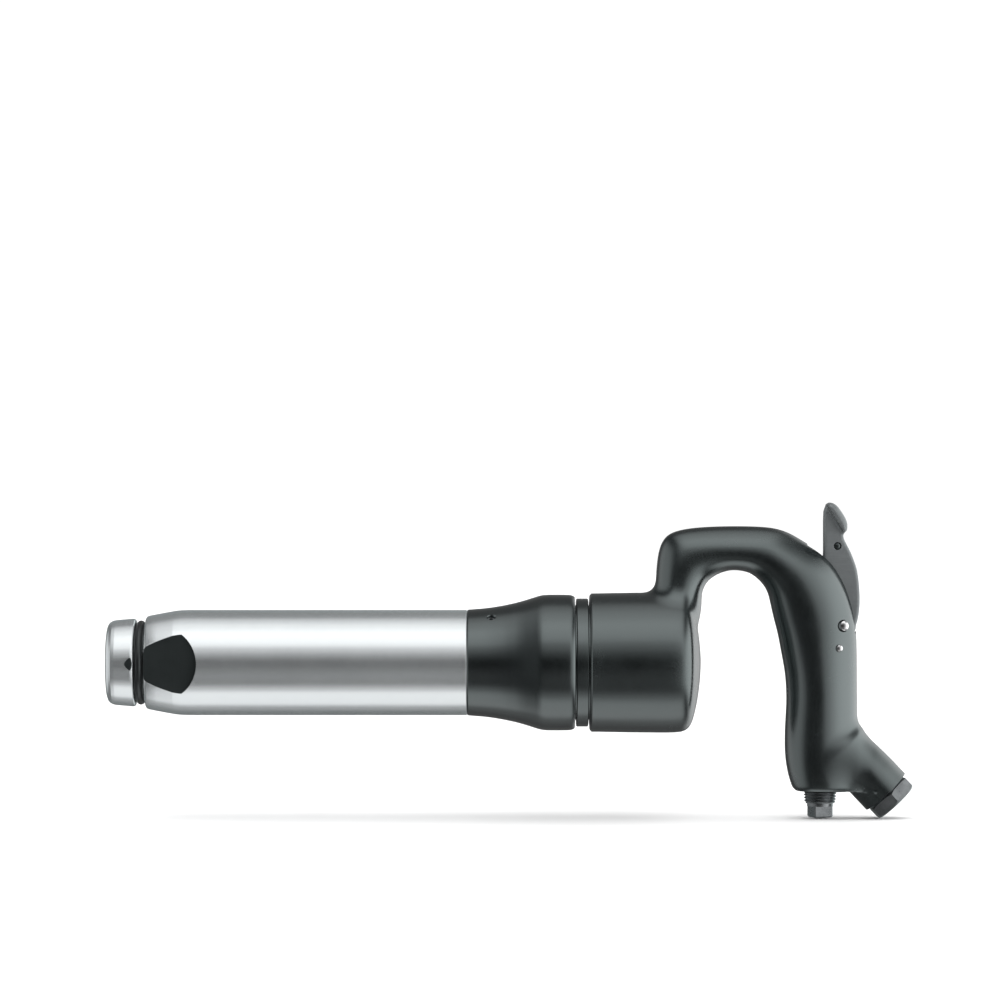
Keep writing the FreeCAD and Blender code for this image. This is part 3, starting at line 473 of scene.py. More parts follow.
def handle_field():
    neck = gooseneck_table()
    profile = spline([p for p in HEAD[1:]], 70)
    outline = [(255.0, 0.0), (255.0, 38.05), (260.0, 38.05)] + [tuple(p) for p in profile]
    mirrored = outline + [(x, -r) for x, r in outline[::-1] if r > 1e-6]
    head = Table(250.0, 350.0, 0.0, 95.0, 0.5, lambda x, r: [polygon_distance(x, r, mirrored)])
    boss_profile = spline([(-33.0, 12.6), (-24.0, 14.0), (-12.0, 14.55), (-2.2, 14.6), (3.0, 14.6)], 40)
    boss_outline = [(-33.0, 0.0)] + [tuple(p) for p in boss_profile] + [(3.0, 0.0)]
    boss_mirrored = boss_outline[1:-1] + [(x, -r) for x, r in boss_outline[1:-1][::-1]]
    boss = Table(-60.0, 30.0, 0.0, 60.0, 0.5, lambda x, r: [polygon_distance(x, r, boss_mirrored)])

    def field(x, y, z):
        ua, a, b, n, g = neck(x, z)
        u = ua / a
        u = u - g * np.maximum(1.0 - u * u, 0.0)
        f = (np.abs(u) ** n + np.abs(y / b) ** n + 1e-9) ** (1.0 / n)
        reach = np.sqrt(ua ** 2 + y ** 2 + 1e-6) / f
        sweep = (f - 1.0) * reach
        sweep = smooth_max(sweep, -70.95 - z, 4.0)
        sweep = np.where(x < 345, smooth_max(sweep, 15.0 - z, 6.0), sweep)
        hd = head(np.clip(x, 250, 349), np.sqrt(y ** 2 + z ** 2))[0]
        # wide blend at the top of the head, fading to none where the neck sinks into its back
        rise = np.clip((z - 14.0) / 20.0, 0.0, 1.0)
        whole = smooth_min(sweep, hd, 0.6 + 7.0 * rise * rise * (3.0 - 2.0 * rise))
        px, pz = x - BOSS_FACE[0], z - BOSS_FACE[2]
        t = px * BOSS[0] + pz * BOSS[2]
        r = np.sqrt(np.maximum(px ** 2 + pz ** 2 + y ** 2 - t ** 2, 0))
        return smooth_min(whole, boss(t, r)[0], 11.0)

    return field


def on_boss(distance):
    return BOSS_FACE + BOSS * distance


def build_handle():
    field = handle_field()
    verts, quads = surface_of(field, (252.0, -41.0, -90.0), (446.0, 41.0, 80.0), 0.8)
    o = mesh_object("handle_casting", verts, quads)
    relax(o, 1, 0.35)
    # spigot that screws over the barrel, crisp front face and rim
    face = lathe("cut_face", [(240.0, 0.0), (256.0, 0.0), (256.0, 20.0), (264.8, 20.0), (264.8, 36.7), (264.95, 37.05), (265.35, 37.55), (265.8, 37.82), (266.5, 50.0), (240.0, 50.0)])
    apply_boolean(o, face)
    apply_boolean(o, lathe("add_spigot", rounded_profile([(246.0, 20.0, 0), (246.0, 31.5, 0.5), (266.0, 31.5, 0), (266.0, 20.0, 0)])), "UNION")
    apply_boolean(o, lathe("cut_chamber", [(240.0, 0.0), (240.0, 24.0), (300.0, 24.0), (300.0, 16.0), (312.0, 16.0), (312.0, 0.0)]))
    apply_boolean(o, lathe("cut_seal_groove", [(249.6, 29.1), (249.6, 33.0), (252.4, 33.0), (252.4, 29.1)]))
    # grip bore, inlet and air ways
    for name, start, direction, length, rad in (
            ("valve_bore", (391.6, 0, -80.0), (0, 0, 1), 89.6, 8.4), ("stem_hole", (391.6, 0, 5.0), (0, 0, 1), 10.0, 4.0),
            ("inlet_thread", tuple(on_boss(4.0)), tuple(-BOSS), 20.0, 10.5), ("inlet_hole", tuple(on_boss(0.0)), tuple(-BOSS), 50.0, 7.9),
            ("air_port", (391.6, 0, 0.0), (-1, 0, 0), 12.6, 3.2), ("air_way_grip", (380.4, 0, -4.0), (-11.4, 0, 56.0), 57.0, 4.2),
            ("air_way_bend", (371.0, 0, 48.5), (-18.0, 0, 14.0), 23.0, 4.2), ("air_way_bar", (356.0, 0, 62.5), (-1, 0, 0), 45.0, 4.2),
            ("air_way_neck", (313.0, 0, 64.5), (-3.5, 0, -56.0), 56.0, 4.2), ("pivot_hole", (403.59, -30, 20.46), (0, 1, 0), 60.0, 2.85),
            ("pivot_recess_near", (403.59, -30, 20.46), (0, 1, 0), 18.4, 3.4), ("pivot_recess_far", (403.59, 30, 20.46), (0, -1, 0), 18.4, 3.4),
            ("small_pin_hole", (401.0, -30, 8.25), (0, 1, 0), 60.0, 2.05)):
        apply_boolean(o, cylinder("cut_" + name, start, direction, length, rad, 96))
    # flat end of the inlet boss
    tip = cylinder("cut_boss_face", tuple(on_boss(0.0)), tuple(BOSS), 12.0, 30.0, 96)
    apply_boolean(o, tip)
    # slot for the lever, with a round clearance about its pivot
    slot = [(384.4, 95.0), (384.4, 12.7), (398.0, 12.7), (404.0, 20.46), (430.0, 20.46), (430.0, 95.0)]
    apply_boolean(o, prism_xz("cut_slot", slot, -5.0, 5.0))
    apply_boolean(o, cylinder("cut_slot_round", (403.59, -5.0, 20.46), (0, 1, 0), 10.0, 8.35, 96))
    return o


# ------------------------------------------------------------- throttle lever
BLADE = [
    (396.2, 86.6), (394.4, 85.4), (393.6, 83.2), (393.4, 78.0), (393.4, 60.5), (392.6, 50.0), (388.9, 28.0), (386.6, 20.46),
    (386.9, 18.4), (388.1, 16.6), (389.8, 15.7), (391.6, 15.46), (393.3, 15.75), (396.2, 15.6), (398.0, 15.3),
    (399.9, 13.75), (402.0, 12.97), (404.2, 12.83), (406.4, 13.33), (408.6, 14.65), (410.2, 16.6), (411.05, 18.8),
    (411.25, 20.46), (412.1, 23.5), (412.75, 27.0), (413.2, 32.0), (413.25, 36.0), (413.1, 40.0), (412.8, 43.8), (412.3, 47.8),
    (411.4, 52.0), (409.9, 56.5), (408.0, 61.1), (405.8, 65.4), (404.5, 68.2), (404.3, 70.6), (405.3, 73.2)]
PAD = [(404.4, 72.0), (405.9, 73.0), (406.4, 76.0), (405.6, 79.0), (404.3, 81.4), (402.8, 83.7), (401.1, 85.9),
       (399.0, 87.5), (396.6, 87.9), (395.2, 86.9)]


def build_lever():
    blade = Table(380.0, 418.0, 8.0, 92.0, 0.25, lambda x, z: [polygon_distance(x, z, np.vstack([spline(BLADE[6:], 160), BLADE[0:6]]))])
    pad_outline = [tuple(p) for p in spline(PAD, 60)] + [(399.0, 80.4)]
    pad = Table(380.0, 418.0, 60.0, 92.0, 0.25, lambda x, z: [polygon_distance(x, z, pad_outline)])

    def field(x, y, z):
        b = smooth_max(blade(x, z)[0], np.abs(y) - 4.6, 2.0)
        # the pad narrows a little towards its lower edge and is crowned across
        crown = 0.011 * y ** 2
        half = 10.0 - 0.0009 * np.maximum(80.0 - z, 0) ** 3
        p = smooth_max(pad(x + 0.55 * crown, z + 0.75 * crown)[0], np.abs(y) - half, 3.4)
        return smooth_min(b, p, 2.2)

    verts, quads = surface_of(field, (383.0, -11.5, 10.0), (416.0, 11.5, 90.5), 0.5)
    o = mesh_object("lever_forging", verts, quads)
    relax(o, 1, 0.3)
    apply_boolean(o, cylinder("cut_lever_pivot", (403.59, -30, 20.46), (0, 1, 0), 60.0, 2.86, 64))
    apply_boolean(o, cylinder("cut_lever_hole", (400.95, -30, 64.1), (0, 1, 0), 60.0, 2.1, 64))
    for side in (-1, 1):
        apply_boolean(o, cylinder("cut_lever_sink", (400.95, side * 5.2, 64.1), (0, -side, 0), 1.1, 2.85, 64, 1.75))
    return o


# --------------------------------------------------------------- turned parts
def build_barrel():
    outer = [(0.0, 15.9, 0.3), (0.0, 19.5, 0.6), (0.66, 21.3, 0.6), (1.65, 22.3, 0.8), (3.0, 23.0, 1.0), (4.95, 23.38, 1.5), (8.8, 23.72, 0),
             (13.9, 24.15, 0), (15.0, 23.95, 0.35), (15.4, 23.4, 0.2), (15.4, 20.4, 0.3), (21.2, 20.4, 0.3), (21.2, 24.5, 0.25), (21.7, 25.3, 0.3),
             (22.8, 25.75, 0), (28.6, 26.9, 0), (37.1, 28.45, 0.8), (40.5, 28.78, 2.0), (44.5, 28.9, 2.0)]
    outer += [(x, 28.9, 0) for x in range(60, 196, 15)]
    outer += [(197.1, 28.9, 0.15), (197.6, 28.4, 0.15), (197.6, 24.0, 0), (261.0, 24.0, 0.3), (262.0, 23.0, 0), (262.0, 13.9, 0.2), (261.6, 13.5, 0),
              (62.1, 13.5, 0), (60.0, 15.6, 0), (0.4, 15.6, 0)]
    o = lathe("barrel_turned", rounded_profile(outer), 288)
    mill = 19.9
    outline = [(-2.0, -mill)] + [(30.5 + mill * math.sin(a), -mill * math.cos(a)) for a in np.linspace(0, math.pi, 64)] + [(-2.0, mill)]
    apply_boolean(o, prism_xz("cut_flat_near", outline, -40.0, -23.9))
    apply_boolean(o, prism_xz("cut_flat_far", outline, 23.9, 40.0))
    return o


def build_chest():
    flare = [(198.2, 29.1), (201.85, 29.4), (205.15, 29.65), (208.45, 29.98), (211.75, 30.42), (215.05, 30.95), (218.35, 31.55),
             (221.65, 32.25), (224.95, 33.02), (228.25, 33.92), (231.55, 34.92), (234.3, 35.78), (236.6, 36.5), (238.6, 36.98), (241.3, 37.26), (246.0, 37.32),
             (251.35, 37.28), (254.2, 37.12), (255.6, 36.75), (256.4, 36.3)]
    profile = [(197.6, 24.2), (197.6, 28.45), (197.72, 28.75)] + [tuple(p) for p in spline(flare, 90)]
    profile += [(256.62, 36.05), (256.7, 35.75), (256.7, 31.8), (256.5, 31.55), (246.0, 31.5), (246.0, 24.0), (197.8, 24.0)]
    o = lathe("chest_turned", profile, 288)
    a = math.radians(56.9)
    d = (0.0, -math.cos(a), math.sin(a))
    apply_boolean(o, cylinder("cut_screw_hole", (210.7, d[1] * 40, d[2] * 40), (0, -d[1], -d[2]), 20.0, 2.2, 64))
    r = 30.28
    apply_boolean(o, cylinder("cut_screw_sink", (210.7, d[1] * (r + 1.0), d[2] * (r + 1.0)), (0, -d[1], -d[2]), 2.0, 3.4, 64, 1.9))
    return o


def box_mesh(name, low, high):
    (x0, y0, z0), (x1, y1, z1) = low, high
    v = [(x, y, z) for x in (x0, x1) for y in (y0, y1) for z in (z0, z1)]
    f = [[0, 1, 3, 2], [4, 6, 7, 5], [0, 4, 5, 1], [2, 3, 7, 6], [0, 2, 6, 4], [1, 5, 7, 3]]
    return mesh_object(name, v, f)


def build_lock_ring():
    o = lathe("lock_ring_split", rounded_profile([(257.5, 31.6, 0.3), (257.5, 35.2, 0.55), (264.0, 35.2, 0.55), (264.0, 31.6, 0.3)]), 256)
    apply_boolean(o, box_mesh("cut_lock_gap", (250.0, 20.0, -6.0), (270.0, 40.0, -4.4)))
    return o


def build_retainer():
    pts = [(15.65, 20.45), (15.65, 21.55), (15.95, 21.95)]
    pts += [(18.3 + 2.2 * math.cos(a), 20.95 + 2.2 * math.sin(a)) for a in np.linspace(math.radians(152), math.radians(28), 28)]
    pts += [(20.65, 21.95), (20.95, 21.55), (20.95, 20.45)]
    return lathe("retainer_moulded", pts, 256)


def aim_z(o, origin, direction):
    """Turns a lathe built about X so that X lies along direction, and puts it at origin (millimetres)."""
    turn = Vector((1, 0, 0)).rotation_difference(Vector(direction).normalized()).to_matrix().to_4x4()
    o.data.transform(Matrix.Translation(Vector(origin) * MM) @ turn)
    o.data.update()
    return o


def build_pin(name, centre, half, rad):
    cap = [(-half, 0.0), (-half + 0.06, rad * 0.42), (-half + 0.22, rad * 0.66), (-half + 0.62, rad * 0.9), (-half + 0.95, rad)]
    profile = cap + [(x, rad) for x in (-half * 0.5, 0.0, half * 0.5)] + [(-x, r) for x, r in cap[::-1]]
    return aim_z(lathe(name, profile, 96), centre, (0, 1, 0))


def build_plug():
    """Plug with a real helical thread and a square drive below it."""
    n = 144
    zs = np.concatenate([[-58.4, -58.4, -58.9], np.arange(-59.4, -77.3, -0.12), [-77.4, -77.7, -78.9]])
    verts, faces = [], []
    for k, z in enumerate(zs):
        for i in range(n):
            a = 2 * math.pi * i / n
            if k == 0:
                r = 5.0
            elif k == 1:
                r = 7.9
            elif z > -59.2:
                r = 8.35
            elif z < -77.35:
                r = 7.15
            else:
                pitch = 1.58
                wave = ((z / pitch + i / n) % 1.0)
                tooth = 1.0 - abs(2 * wave - 1.0)
                tooth = min(max((tooth - 0.12) / 0.76, 0.0), 1.0)
                crest = 8.36 if z > -71.2 else 9.05 - 0.06 * (-71.2 - z)
                end = min(1.0, max(0.0, (z + 77.35) / 1.1))
                root = crest - 0.86
                r = root + (crest - root) * tooth * end
                if z > -71.0:
                    r = min(r, 8.36)
            verts.append((391.6 + r * math.cos(a), r * math.sin(a), z))
    rows = len(zs)
    for k in range(rows - 1):
        for i in range(n):
            j = (i + 1) % n
            faces.append([k * n + i, (k + 1) * n + i, (k + 1) * n + j, k * n + j])
    faces.append(list(range(n)))
    faces.append(list(range((rows - 1) * n, rows * n))[::-1])
    o = mesh_object("plug_threaded", verts, faces)
    half, a = 5.5, math.radians(19)
    ring = []
    for z, h, c in ((-78.6, half, 0.7), (-84.3, half, 0.7), (-85.0, half - 0.7, 0.5)):
        for sx, sy in ((1, 1), (-1, 1), (-1, -1), (1, -1)):
            first, second = ((sx * h, sy * (h - c)), (sx * (h - c), sy * h)) if sx * sy > 0 else ((sx * (h - c), sy * h), (sx * h, sy * (h - c)))
            for x, y in (first, second):
                ring.append((391.6 + x * math.cos(a) - y * math.sin(a), x * math.sin(a) + y * math.cos(a), z))
    m = 8
    f = [list(range(m)), list(range(2 * m, 3 * m))[::-1]]
    for k in range(2):
        for i in range(m):
            j = (i + 1) % m
            f.append([k * m + i, (k + 1) * m + i, (k + 1) * m + j, k * m + j])
    square = mesh_object("plug_square", ring, f)
    for x in (o, square):
        bm = bmesh.new()
        bm.from_mesh(x.data)
        bmesh.ops.recalc_face_normals(bm, faces=bm.faces)
        if bm.calc_volume(signed=True) < 0:
            bmesh.ops.reverse_faces(bm, faces=bm.faces)
        bm.to_mesh(x.data)
        bm.free()
    apply_boolean(o, square, "UNION")
    return o


def build_inlet():
    """Hexagon bushing: threaded nose in the boss, chamfered hexagon, threaded bore."""
    profile = [(-14.8, 8.5), (-14.8, 9.9), (-14.2, 10.45), (-0.6, 10.45), (-0.4, 9.8), (2.2, 9.8), (2.2, 8.5)]
    o = aim_z(lathe("inlet_bushing_turned", profile, 144), on_boss(0.0), BOSS)
    # hexagon, its corners turned off by a cone at both ends
    cr = 24.8 / math.sqrt(3)
    cone = lathe("hex_cone", [(1.2, 0.0), (1.2, 13.0), (1.75, 13.95), (2.6, 14.9), (6.0, 14.9), (7.4, 13.6), (8.15, 12.5), (8.4, 12.0), (8.4, 0.0)], 192)
    aim_z(cone, on_boss(0.0), BOSS)
    axis = Vector(BOSS)
    side = Vector((0, 1, 0))
    up = axis.cross(side)
    verts = []
    for t in (-2.0, 12.0):
        for k in range(6):
            a = math.radians(60 * k + 4 + 90)
            c = Vector(on_boss(t)) + up * (cr * math.cos(a)) + side * (cr * math.sin(a))
            verts.append(tuple(c))
    faces = [list(range(6))[::-1], list(range(6, 12))] + [[i, (i + 1) % 6, 6 + (i + 1) % 6, 6 + i] for i in range(6)]
    hexa = mesh_object("hex_prism", verts, faces)
    bm = bmesh.new()
    bm.from_mesh(hexa.data)
    if bm.calc_volume(signed=True) < 0:
        bmesh.ops.reverse_faces(bm, faces=bm.faces)
    bm.to_mesh(hexa.data)
    bm.free()
    apply_boolean(cone, hexa, "INTERSECT")
    apply_boolean(o, cone, "UNION")
    bore = [(-16.0, 0.0), (-16.0, 7.95)]
    for k in range(15):
        t = -14.2 + k * 1.4
        bore += [(t, 7.95), (t + 0.35, 8.65), (t + 0.75, 8.65), (t + 1.1, 7.95)]
    bore = [p for p in bore if p[0] < 6.6] + [(6.9, 7.95), (8.4, 9.2), (12.0, 12.0), (12.0, 0.0)]
    cutter = aim_z(lathe("inlet_bore", bore, 144), on_boss(0.0), BOSS)
    apply_boolean(o, cutter)
    return o


# ------------------------------------------------------------------ materials
def new_material(name):
    m = bpy.data.materials.new(name)
    m.use_nodes = True
    nt = m.node_tree
    nt.nodes.clear()
    out = nt.nodes.new("ShaderNodeOutputMaterial")
    shader = nt.nodes.new("ShaderNodeBsdfPrincipled")
    nt.links.new(shader.outputs["BSDF"], out.inputs["Surface"])
    return m, nt, shader


def node_of(nt, kind, **values):
    n = nt.nodes.new(kind)
    for k, v in values.items():
        if k in n.inputs:
            n.inputs[k].default_value = v
        else:
            setattr(n, k, v)
    return n


def noise(nt, scale, stretch=(1.0, 1.0, 1.0), detail=4.0, rough=0.55, turn=(0.0, 0.0, 0.0)):
    coords = nt.nodes.new("ShaderNodeTexCoord")
    mapping = nt.nodes.new("ShaderNodeMapping")
    mapping.inputs["Scale"].default_value = stretch
    mapping.inputs["Rotation"].default_value = turn
    nt.links.new(coords.outputs["Object"], mapping.inputs["Vector"])
    n = node_of(nt, "ShaderNodeTexNoise", Scale=scale, Detail=detail, Roughness=rough)
    nt.links.new(mapping.outputs["Vector"], n.inputs["Vector"])
    return n.outputs["Fac"]


def spread(nt, fac, low, high, to_low, to_high):
    n = node_of(nt, "ShaderNodeMapRange")
    n.inputs["From Min"].default_value = low
    n.inputs["From Max"].default_value = high
    n.inputs["To Min"].default_value = to_low
    n.inputs["To Max"].default_value = to_high
    nt.links.new(fac, n.inputs["Value"])
    return n.outputs["Result"]


def smooth_spread(nt, fac, low, high, to_low, to_high):
    out = spread(nt, fac, low, high, to_low, to_high)
    out.node.interpolation_type = "SMOOTHSTEP"
    return out


def blend_colours(nt, fac, a, b):
    n = nt.nodes.new("ShaderNodeMix")
    n.data_type = "RGBA"
    n.inputs["A"].default_value = (*a, 1.0)
    n.inputs["B"].default_value = (*b, 1.0)
    nt.links.new(fac, n.inputs["Factor"])
    return n.outputs["Result"]


def math_node(nt, op, a, b):
    n = nt.nodes.new("ShaderNodeMath")
    n.operation = op
    for i, v in enumerate((a, b)):
        if isinstance(v, (int, float)):
            n.inputs[i].default_value = v
        else:
            nt.links.new(v, n.inputs[i])
    return n.outputs[0]


def finish_material(name, dark, light, rough, metallic, mottle=60.0, grain_stretch=None, grain_scale=1.0, grain_depth=0.00001,
                    grain_rough=0.0, pits=0.0, pit_scale=900.0, ior=1.5, coat=0.0, specular=0.5, tint=(0.88, 1.0, 1.0)):
    """dark..light is the mottled base colour, rough is (low, high); grain runs square to its long stretch."""
    m, nt, shader = new_material(name)
    patch = noise(nt, mottle, detail=5.0)
    fine = noise(nt, mottle * 14.0, detail=3.0)
    tone = math_node(nt, "ADD", math_node(nt, "MULTIPLY", patch, 0.7), math_node(nt, "MULTIPLY", fine, 0.3))
    fac = spread(nt, tone, 0.36, 0.64, 0.0, 1.0)
    rough_at = spread(nt, tone, 0.36, 0.64, rough[0], rough[1])
    height = None
    if grain_stretch is not None:
        lines = noise(nt, grain_scale, stretch=grain_stretch, detail=6.0, rough=0.7)
        fac = math_node(nt, "ADD", math_node(nt, "MULTIPLY", fac, 0.45), math_node(nt, "MULTIPLY", spread(nt, lines, 0.3, 0.7, 0.0, 1.0), 0.55))
        if grain_rough:
            rough_at = math_node(nt, "ADD", rough_at, spread(nt, lines, 0.3, 0.7, -grain_rough, grain_rough))
        height = math_node(nt, "MULTIPLY", lines, grain_depth)
    if pits:
        dots = noise(nt, pit_scale, detail=3.0, rough=0.6)
        extra = math_node(nt, "MULTIPLY", dots, pits)
        height = extra if height is None else math_node(nt, "ADD", height, extra)
    nt.links.new(blend_colours(nt, fac, dark, light), shader.inputs["Base Color"])
    nt.links.new(rough_at, shader.inputs["Roughness"])
    if height is not None:
        bump = nt.nodes.new("ShaderNodeBump")
        bump.inputs["Strength"].default_value = 1.0
        bump.inputs["Distance"].default_value = 1.0
        nt.links.new(height, bump.inputs["Height"])
        nt.links.new(bump.outputs["Normal"], shader.inputs["Normal"])
    shader.inputs["Metallic"].default_value = metallic
    shader.inputs["IOR"].default_value = ior
    shader.inputs["Coat Weight"].default_value = coat
    shader.inputs["Coat Roughness"].default_value = 0.25
    shader.inputs["Specular IOR Level"].default_value = specular
    shader.inputs["Specular Tint"].default_value = (*tint, 1.0)
    return m


ROUND_X = (1.0, 0.02, 0.02)
MATERIALS = {
    "ground_steel": finish_material("ground_steel", (0.575, 0.60, 0.612), (0.635, 0.662, 0.672), (0.17, 0.22), 0.84, mottle=9.0,
                                    grain_stretch=ROUND_X, grain_scale=3800.0, grain_depth=0.0000011, grain_rough=0.04),
    "blackened_flat": finish_material("blackened_flat", (0.006, 0.0075, 0.0078), (0.012, 0.0142, 0.0146), (0.34, 0.42), 0.0, mottle=60.0,
                                      grain_stretch=(1.0, 1.0, 0.03), grain_scale=2400.0, grain_depth=0.0000015, ior=1.5),
    "black_oxide": finish_material("black_oxide", (0.0020, 0.0026, 0.0028), (0.0046, 0.0058, 0.0062), (0.20, 0.25), 0.0, mottle=45.0,
                                   grain_stretch=ROUND_X, grain_scale=3000.0, grain_depth=0.0000006, grain_rough=0.015, ior=1.98),
    "black_casting": finish_material("black_casting", (0.0022, 0.0030, 0.0032), (0.0054, 0.0068, 0.0072), (0.22, 0.28), 0.0, mottle=38.0,
                                     pits=0.000006, pit_scale=1500.0, ior=1.98),
    "lever_steel": finish_material("lever_steel", (0.105, 0.112, 0.115), (0.145, 0.152, 0.156), (0.36, 0.46), 0.25, mottle=55.0,
                                   grain_stretch=(0.05, 1.0, 1.0), grain_scale=1500.0, grain_depth=0.000001, ior=1.6),
    "dark_steel": finish_material("dark_steel", (0.100, 0.106, 0.110), (0.190, 0.198, 0.204), (0.26, 0.36), 0.85, mottle=120.0,
                                  pits=0.000006, pit_scale=2000.0),
    "tool_steel": finish_material("tool_steel", (0.33, 0.335, 0.34), (0.46, 0.465, 0.47), (0.24, 0.34), 1.0, mottle=90.0,
                                  grain_stretch=ROUND_X, grain_scale=2600.0, grain_depth=0.0000012, grain_rough=0.03),
    "bright_pin": finish_material("bright_pin", (0.56, 0.56, 0.565), (0.70, 0.70, 0.705), (0.16, 0.26), 1.0, mottle=260.0,
                                  pits=0.0000015, pit_scale=3200.0),
    "spring_steel": finish_material("spring_steel", (0.30, 0.30, 0.31), (0.45, 0.45, 0.46), (0.24, 0.34), 1.0, mottle=200.0,
                                    pits=0.000001, pit_scale=4000.0),
    "brass_mesh": finish_material("brass_mesh", (0.50, 0.36, 0.14), (0.66, 0.49, 0.22), (0.26, 0.38), 1.0, mottle=180.0,
                                  pits=0.000003, pit_scale=3000.0),
    "rubber": finish_material("rubber", (0.006, 0.006, 0.0065), (0.012, 0.012, 0.0125), (0.26, 0.34), 0.0, mottle=90.0,
                              pits=0.000008, pit_scale=2600.0),
}


def dress(o, key):
    o.data.materials.clear()
    o.data.materials.append(MATERIALS[key])
    for p in o.data.polygons:
        p.material_index = 0


def add_piece(o, node, key, body, angle=32.0):
    shade(o, angle)
    dress(o, key)
    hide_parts(node)
    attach(o, body)
    return o


# ------------------------------------------------------------------- assembly
barrel = add_piece(build_barrel(), "barrel", "ground_steel", "tool", 14.0)
barrel.data.materials.append(MATERIALS["blackened_flat"])
for p in barrel.data.polygons:
    if abs(p.normal.y) > 0.9999 and abs(abs(p.center.y) - 0.0239) < 0.00005 and p.center.x < 0.052:
        p.material_index = 1
add_piece(build_chest(), "valve_chest", "black_oxide", "tool", 14.0)
add_piece(build_lock_ring(), "lock_ring", "black_oxide", "tool", 14.0)
add_piece(build_retainer(), "retainer_ring", "rubber", "tool", 25.0)
add_piece(build_handle(), "handle", "black_casting", "tool", 30.0)
add_piece(build_lever(), "throttle_lever", "lever_steel", "lever", 30.0)
add_piece(build_plug(), "bottom_plug", "dark_steel", "tool", 24.0)
add_piece(build_inlet(), "inlet_bushing", "dark_steel", "tool", 20.0)
add_piece(build_pin("pivot_pin_turned", (403.59, 0.0, 20.46), 13.0, 2.8), "lever_pivot_pin", "bright_pin", "tool", 20.0)
add_piece(build_pin("retaining_pin_turned", (401.0, 0.0, 8.25), 14.9, 2.0), "bushing_retaining_pin", "bright_pin", "tool", 20.0)

# black plug filling the lever's upper hole: painted shade, a dark piece standing in for the shade inside the hole
dark_hole_plug = build_pin("lever_hole_pin", (400.95, 0.0, 64.1), 4.45, 2.1)
shade(dark_hole_plug, 20.0)
# painted shade: the plug is dressed black so the hole reads dark
dress(dark_hole_plug, "black_oxide")
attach(dark_hole_plug, "lever")

KEPT = {
    "chest_set_screw": "dark_steel", "chest_seal_ring": "rubber", "valve_seat_plate": "tool_steel", "valve_cage": "tool_steel",
    "valve_cap": "tool_steel", "valve_box_washer": "dark_steel", "dowel_pins": "bright_pin", "main_valve": "tool_steel",
    "piston": "tool_steel", "throttle_valve_bushing": "tool_steel", "throttle_valve": "tool_steel", "throttle_valve_seal": "rubber",
    "throttle_spring": "spring_steel", "inlet_strainer": "brass_mesh"}
for node_name, key in KEPT.items():
    node = bpy.data.objects[node_name]
    dress(node, key)


# ---------------------------------------------------------- floor and lighting
def build_floor():
    z = -0.0856
    o = mesh_object("floor", [(-6, -6, z), (6, -6, z), (6, 8, z), (-6, 8, z)], [[0, 1, 2, 3]], scale=1.0)
    m, nt, shader = new_material("pale_floor")
    tone = noise(nt, 1.3, detail=3.0)
    nt.links.new(blend_colours(nt, spread(nt, tone, 0.35, 0.65, 0.0, 1.0), (0.79, 0.79, 0.79), (0.81, 0.81, 0.81)), shader.inputs["Base Color"])
    shader.inputs["Roughness"].default_value = 0.75
    shader.inputs["Specular IOR Level"].default_value = 0.2
    o.data.materials.append(m)
    return o


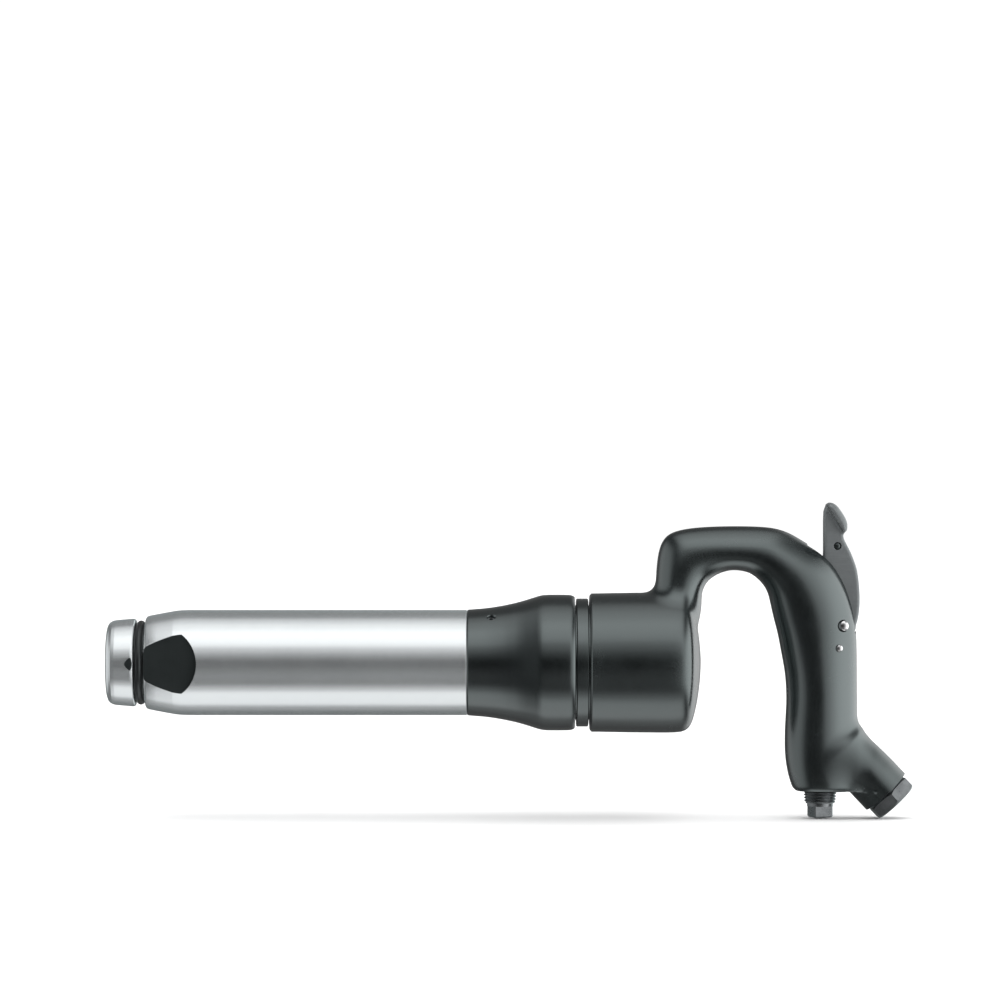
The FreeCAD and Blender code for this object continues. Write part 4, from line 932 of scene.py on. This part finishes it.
def build_world():
    """Studio round the object: black towards the viewer, long soft panels above and below, grey behind."""
    w = bpy.data.worlds.new("studio")
    scene.world = w
    w.use_nodes = True
    nt = w.node_tree
    nt.nodes.clear()
    out = nt.nodes.new("ShaderNodeOutputWorld")
    coords = nt.nodes.new("ShaderNodeTexCoord")
    split = nt.nodes.new("ShaderNodeSeparateXYZ")
    nt.links.new(coords.outputs["Generated"], split.inputs["Vector"])
    angle = math_node(nt, "ARCTAN2", split.outputs["Z"], math_node(nt, "MULTIPLY", split.outputs["Y"], -1.0))
    place = spread(nt, angle, -math.pi, math.pi, 0.0, 1.0)
    ramp = nt.nodes.new("ShaderNodeValToRGB")
    ramp.color_ramp.interpolation = "EASE"
    stops = [(-180, 0.16), (-138, 0.18), (-114, 0.44), (-98, 1.28), (-70, 1.34), (-56, 0.62), (-44, 0.18), (-28, 0.22), (-15, 0.15),
             (-8, 0.05), (6, 0.03), (14, 0.24), (30, 0.72), (44, 1.55), (66, 1.75), (90, 1.25), (104, 0.85), (122, 0.18), (140, 0.16), (180, 0.30)]
    els = ramp.color_ramp.elements
    while len(els) < len(stops):
        els.new(0.5)
    for e, (deg, v) in zip(els, stops):
        e.position = (deg + 180) / 360.0
        e.color = (v * 0.5, v * 0.5, v * 0.5, 1.0)
    nt.links.new(place, ramp.inputs["Fac"])
    wide = smooth_spread(nt, math_node(nt, "ABSOLUTE", split.outputs["X"], 0.0), 0.22, 0.60, 1.0, 0.0)
    m = nt.nodes.new("ShaderNodeMix")
    m.data_type = "RGBA"
    m.inputs["A"].default_value = (0.040, 0.042, 0.043, 1.0)
    nt.links.new(wide, m.inputs["Factor"])
    nt.links.new(ramp.outputs["Color"], m.inputs["B"])
    # panels at the two ends, the stronger one beyond the grip
    level = smooth_spread(nt, math_node(nt, "ABSOLUTE", split.outputs["Z"], 0.0), 0.45, 0.85, 1.0, 0.0)
    right = math_node(nt, "ADD", smooth_spread(nt, split.outputs["X"], 0.13, 0.40, 0.0, 0.46), smooth_spread(nt, split.outputs["X"], 0.35, 0.95, 0.0, 0.70))
    left = smooth_spread(nt, split.outputs["X"], -0.52, -0.95, 0.0, 0.42)
    ends = math_node(nt, "MULTIPLY", math_node(nt, "ADD", right, left), level)
    total = nt.nodes.new("ShaderNodeMix")
    total.data_type = "RGBA"
    total.blend_type = "ADD"
    total.inputs["Factor"].default_value = 1.0
    both = nt.nodes.new("ShaderNodeCombineXYZ")
    for k in range(3):
        nt.links.new(ends, both.inputs[k])
    nt.links.new(m.outputs["Result"], total.inputs["A"])
    nt.links.new(both.outputs["Vector"], total.inputs["B"])
    bg = nt.nodes.new("ShaderNodeBackground")
    bg.inputs["Strength"].default_value = 2.0
    nt.links.new(total.outputs["Result"], bg.inputs["Color"])
    plain = nt.nodes.new("ShaderNodeBackground")
    plain.inputs["Color"].default_value = (1.0, 1.0, 1.0, 1.0)
    plain.inputs["Strength"].default_value = 1.05
    path = nt.nodes.new("ShaderNodeLightPath")
    mix = nt.nodes.new("ShaderNodeMixShader")
    nt.links.new(path.outputs["Is Camera Ray"], mix.inputs["Fac"])
    nt.links.new(bg.outputs["Background"], mix.inputs[1])
    nt.links.new(plain.outputs["Background"], mix.inputs[2])
    nt.links.new(mix.outputs["Shader"], out.inputs["Surface"])


def sky_light():
    """Even soft light from above that keeps the floor pale to its far edge."""
    data = bpy.data.lights.new("sky", "SUN")
    data.energy = 3.1
    data.angle = math.radians(100)
    o = bpy.data.objects.new("sky", data)
    o.rotation_euler = (math.radians(-12), 0, 0)
    o.visible_glossy = False
    scene.collection.objects.link(o)


floor = build_floor()
floor.visible_glossy = False
build_world()
sky_light()
make_camera()
scene.view_settings.view_transform = "Standard"
scene.view_settings.look = "None"
scene.cycles.max_bounces = 6
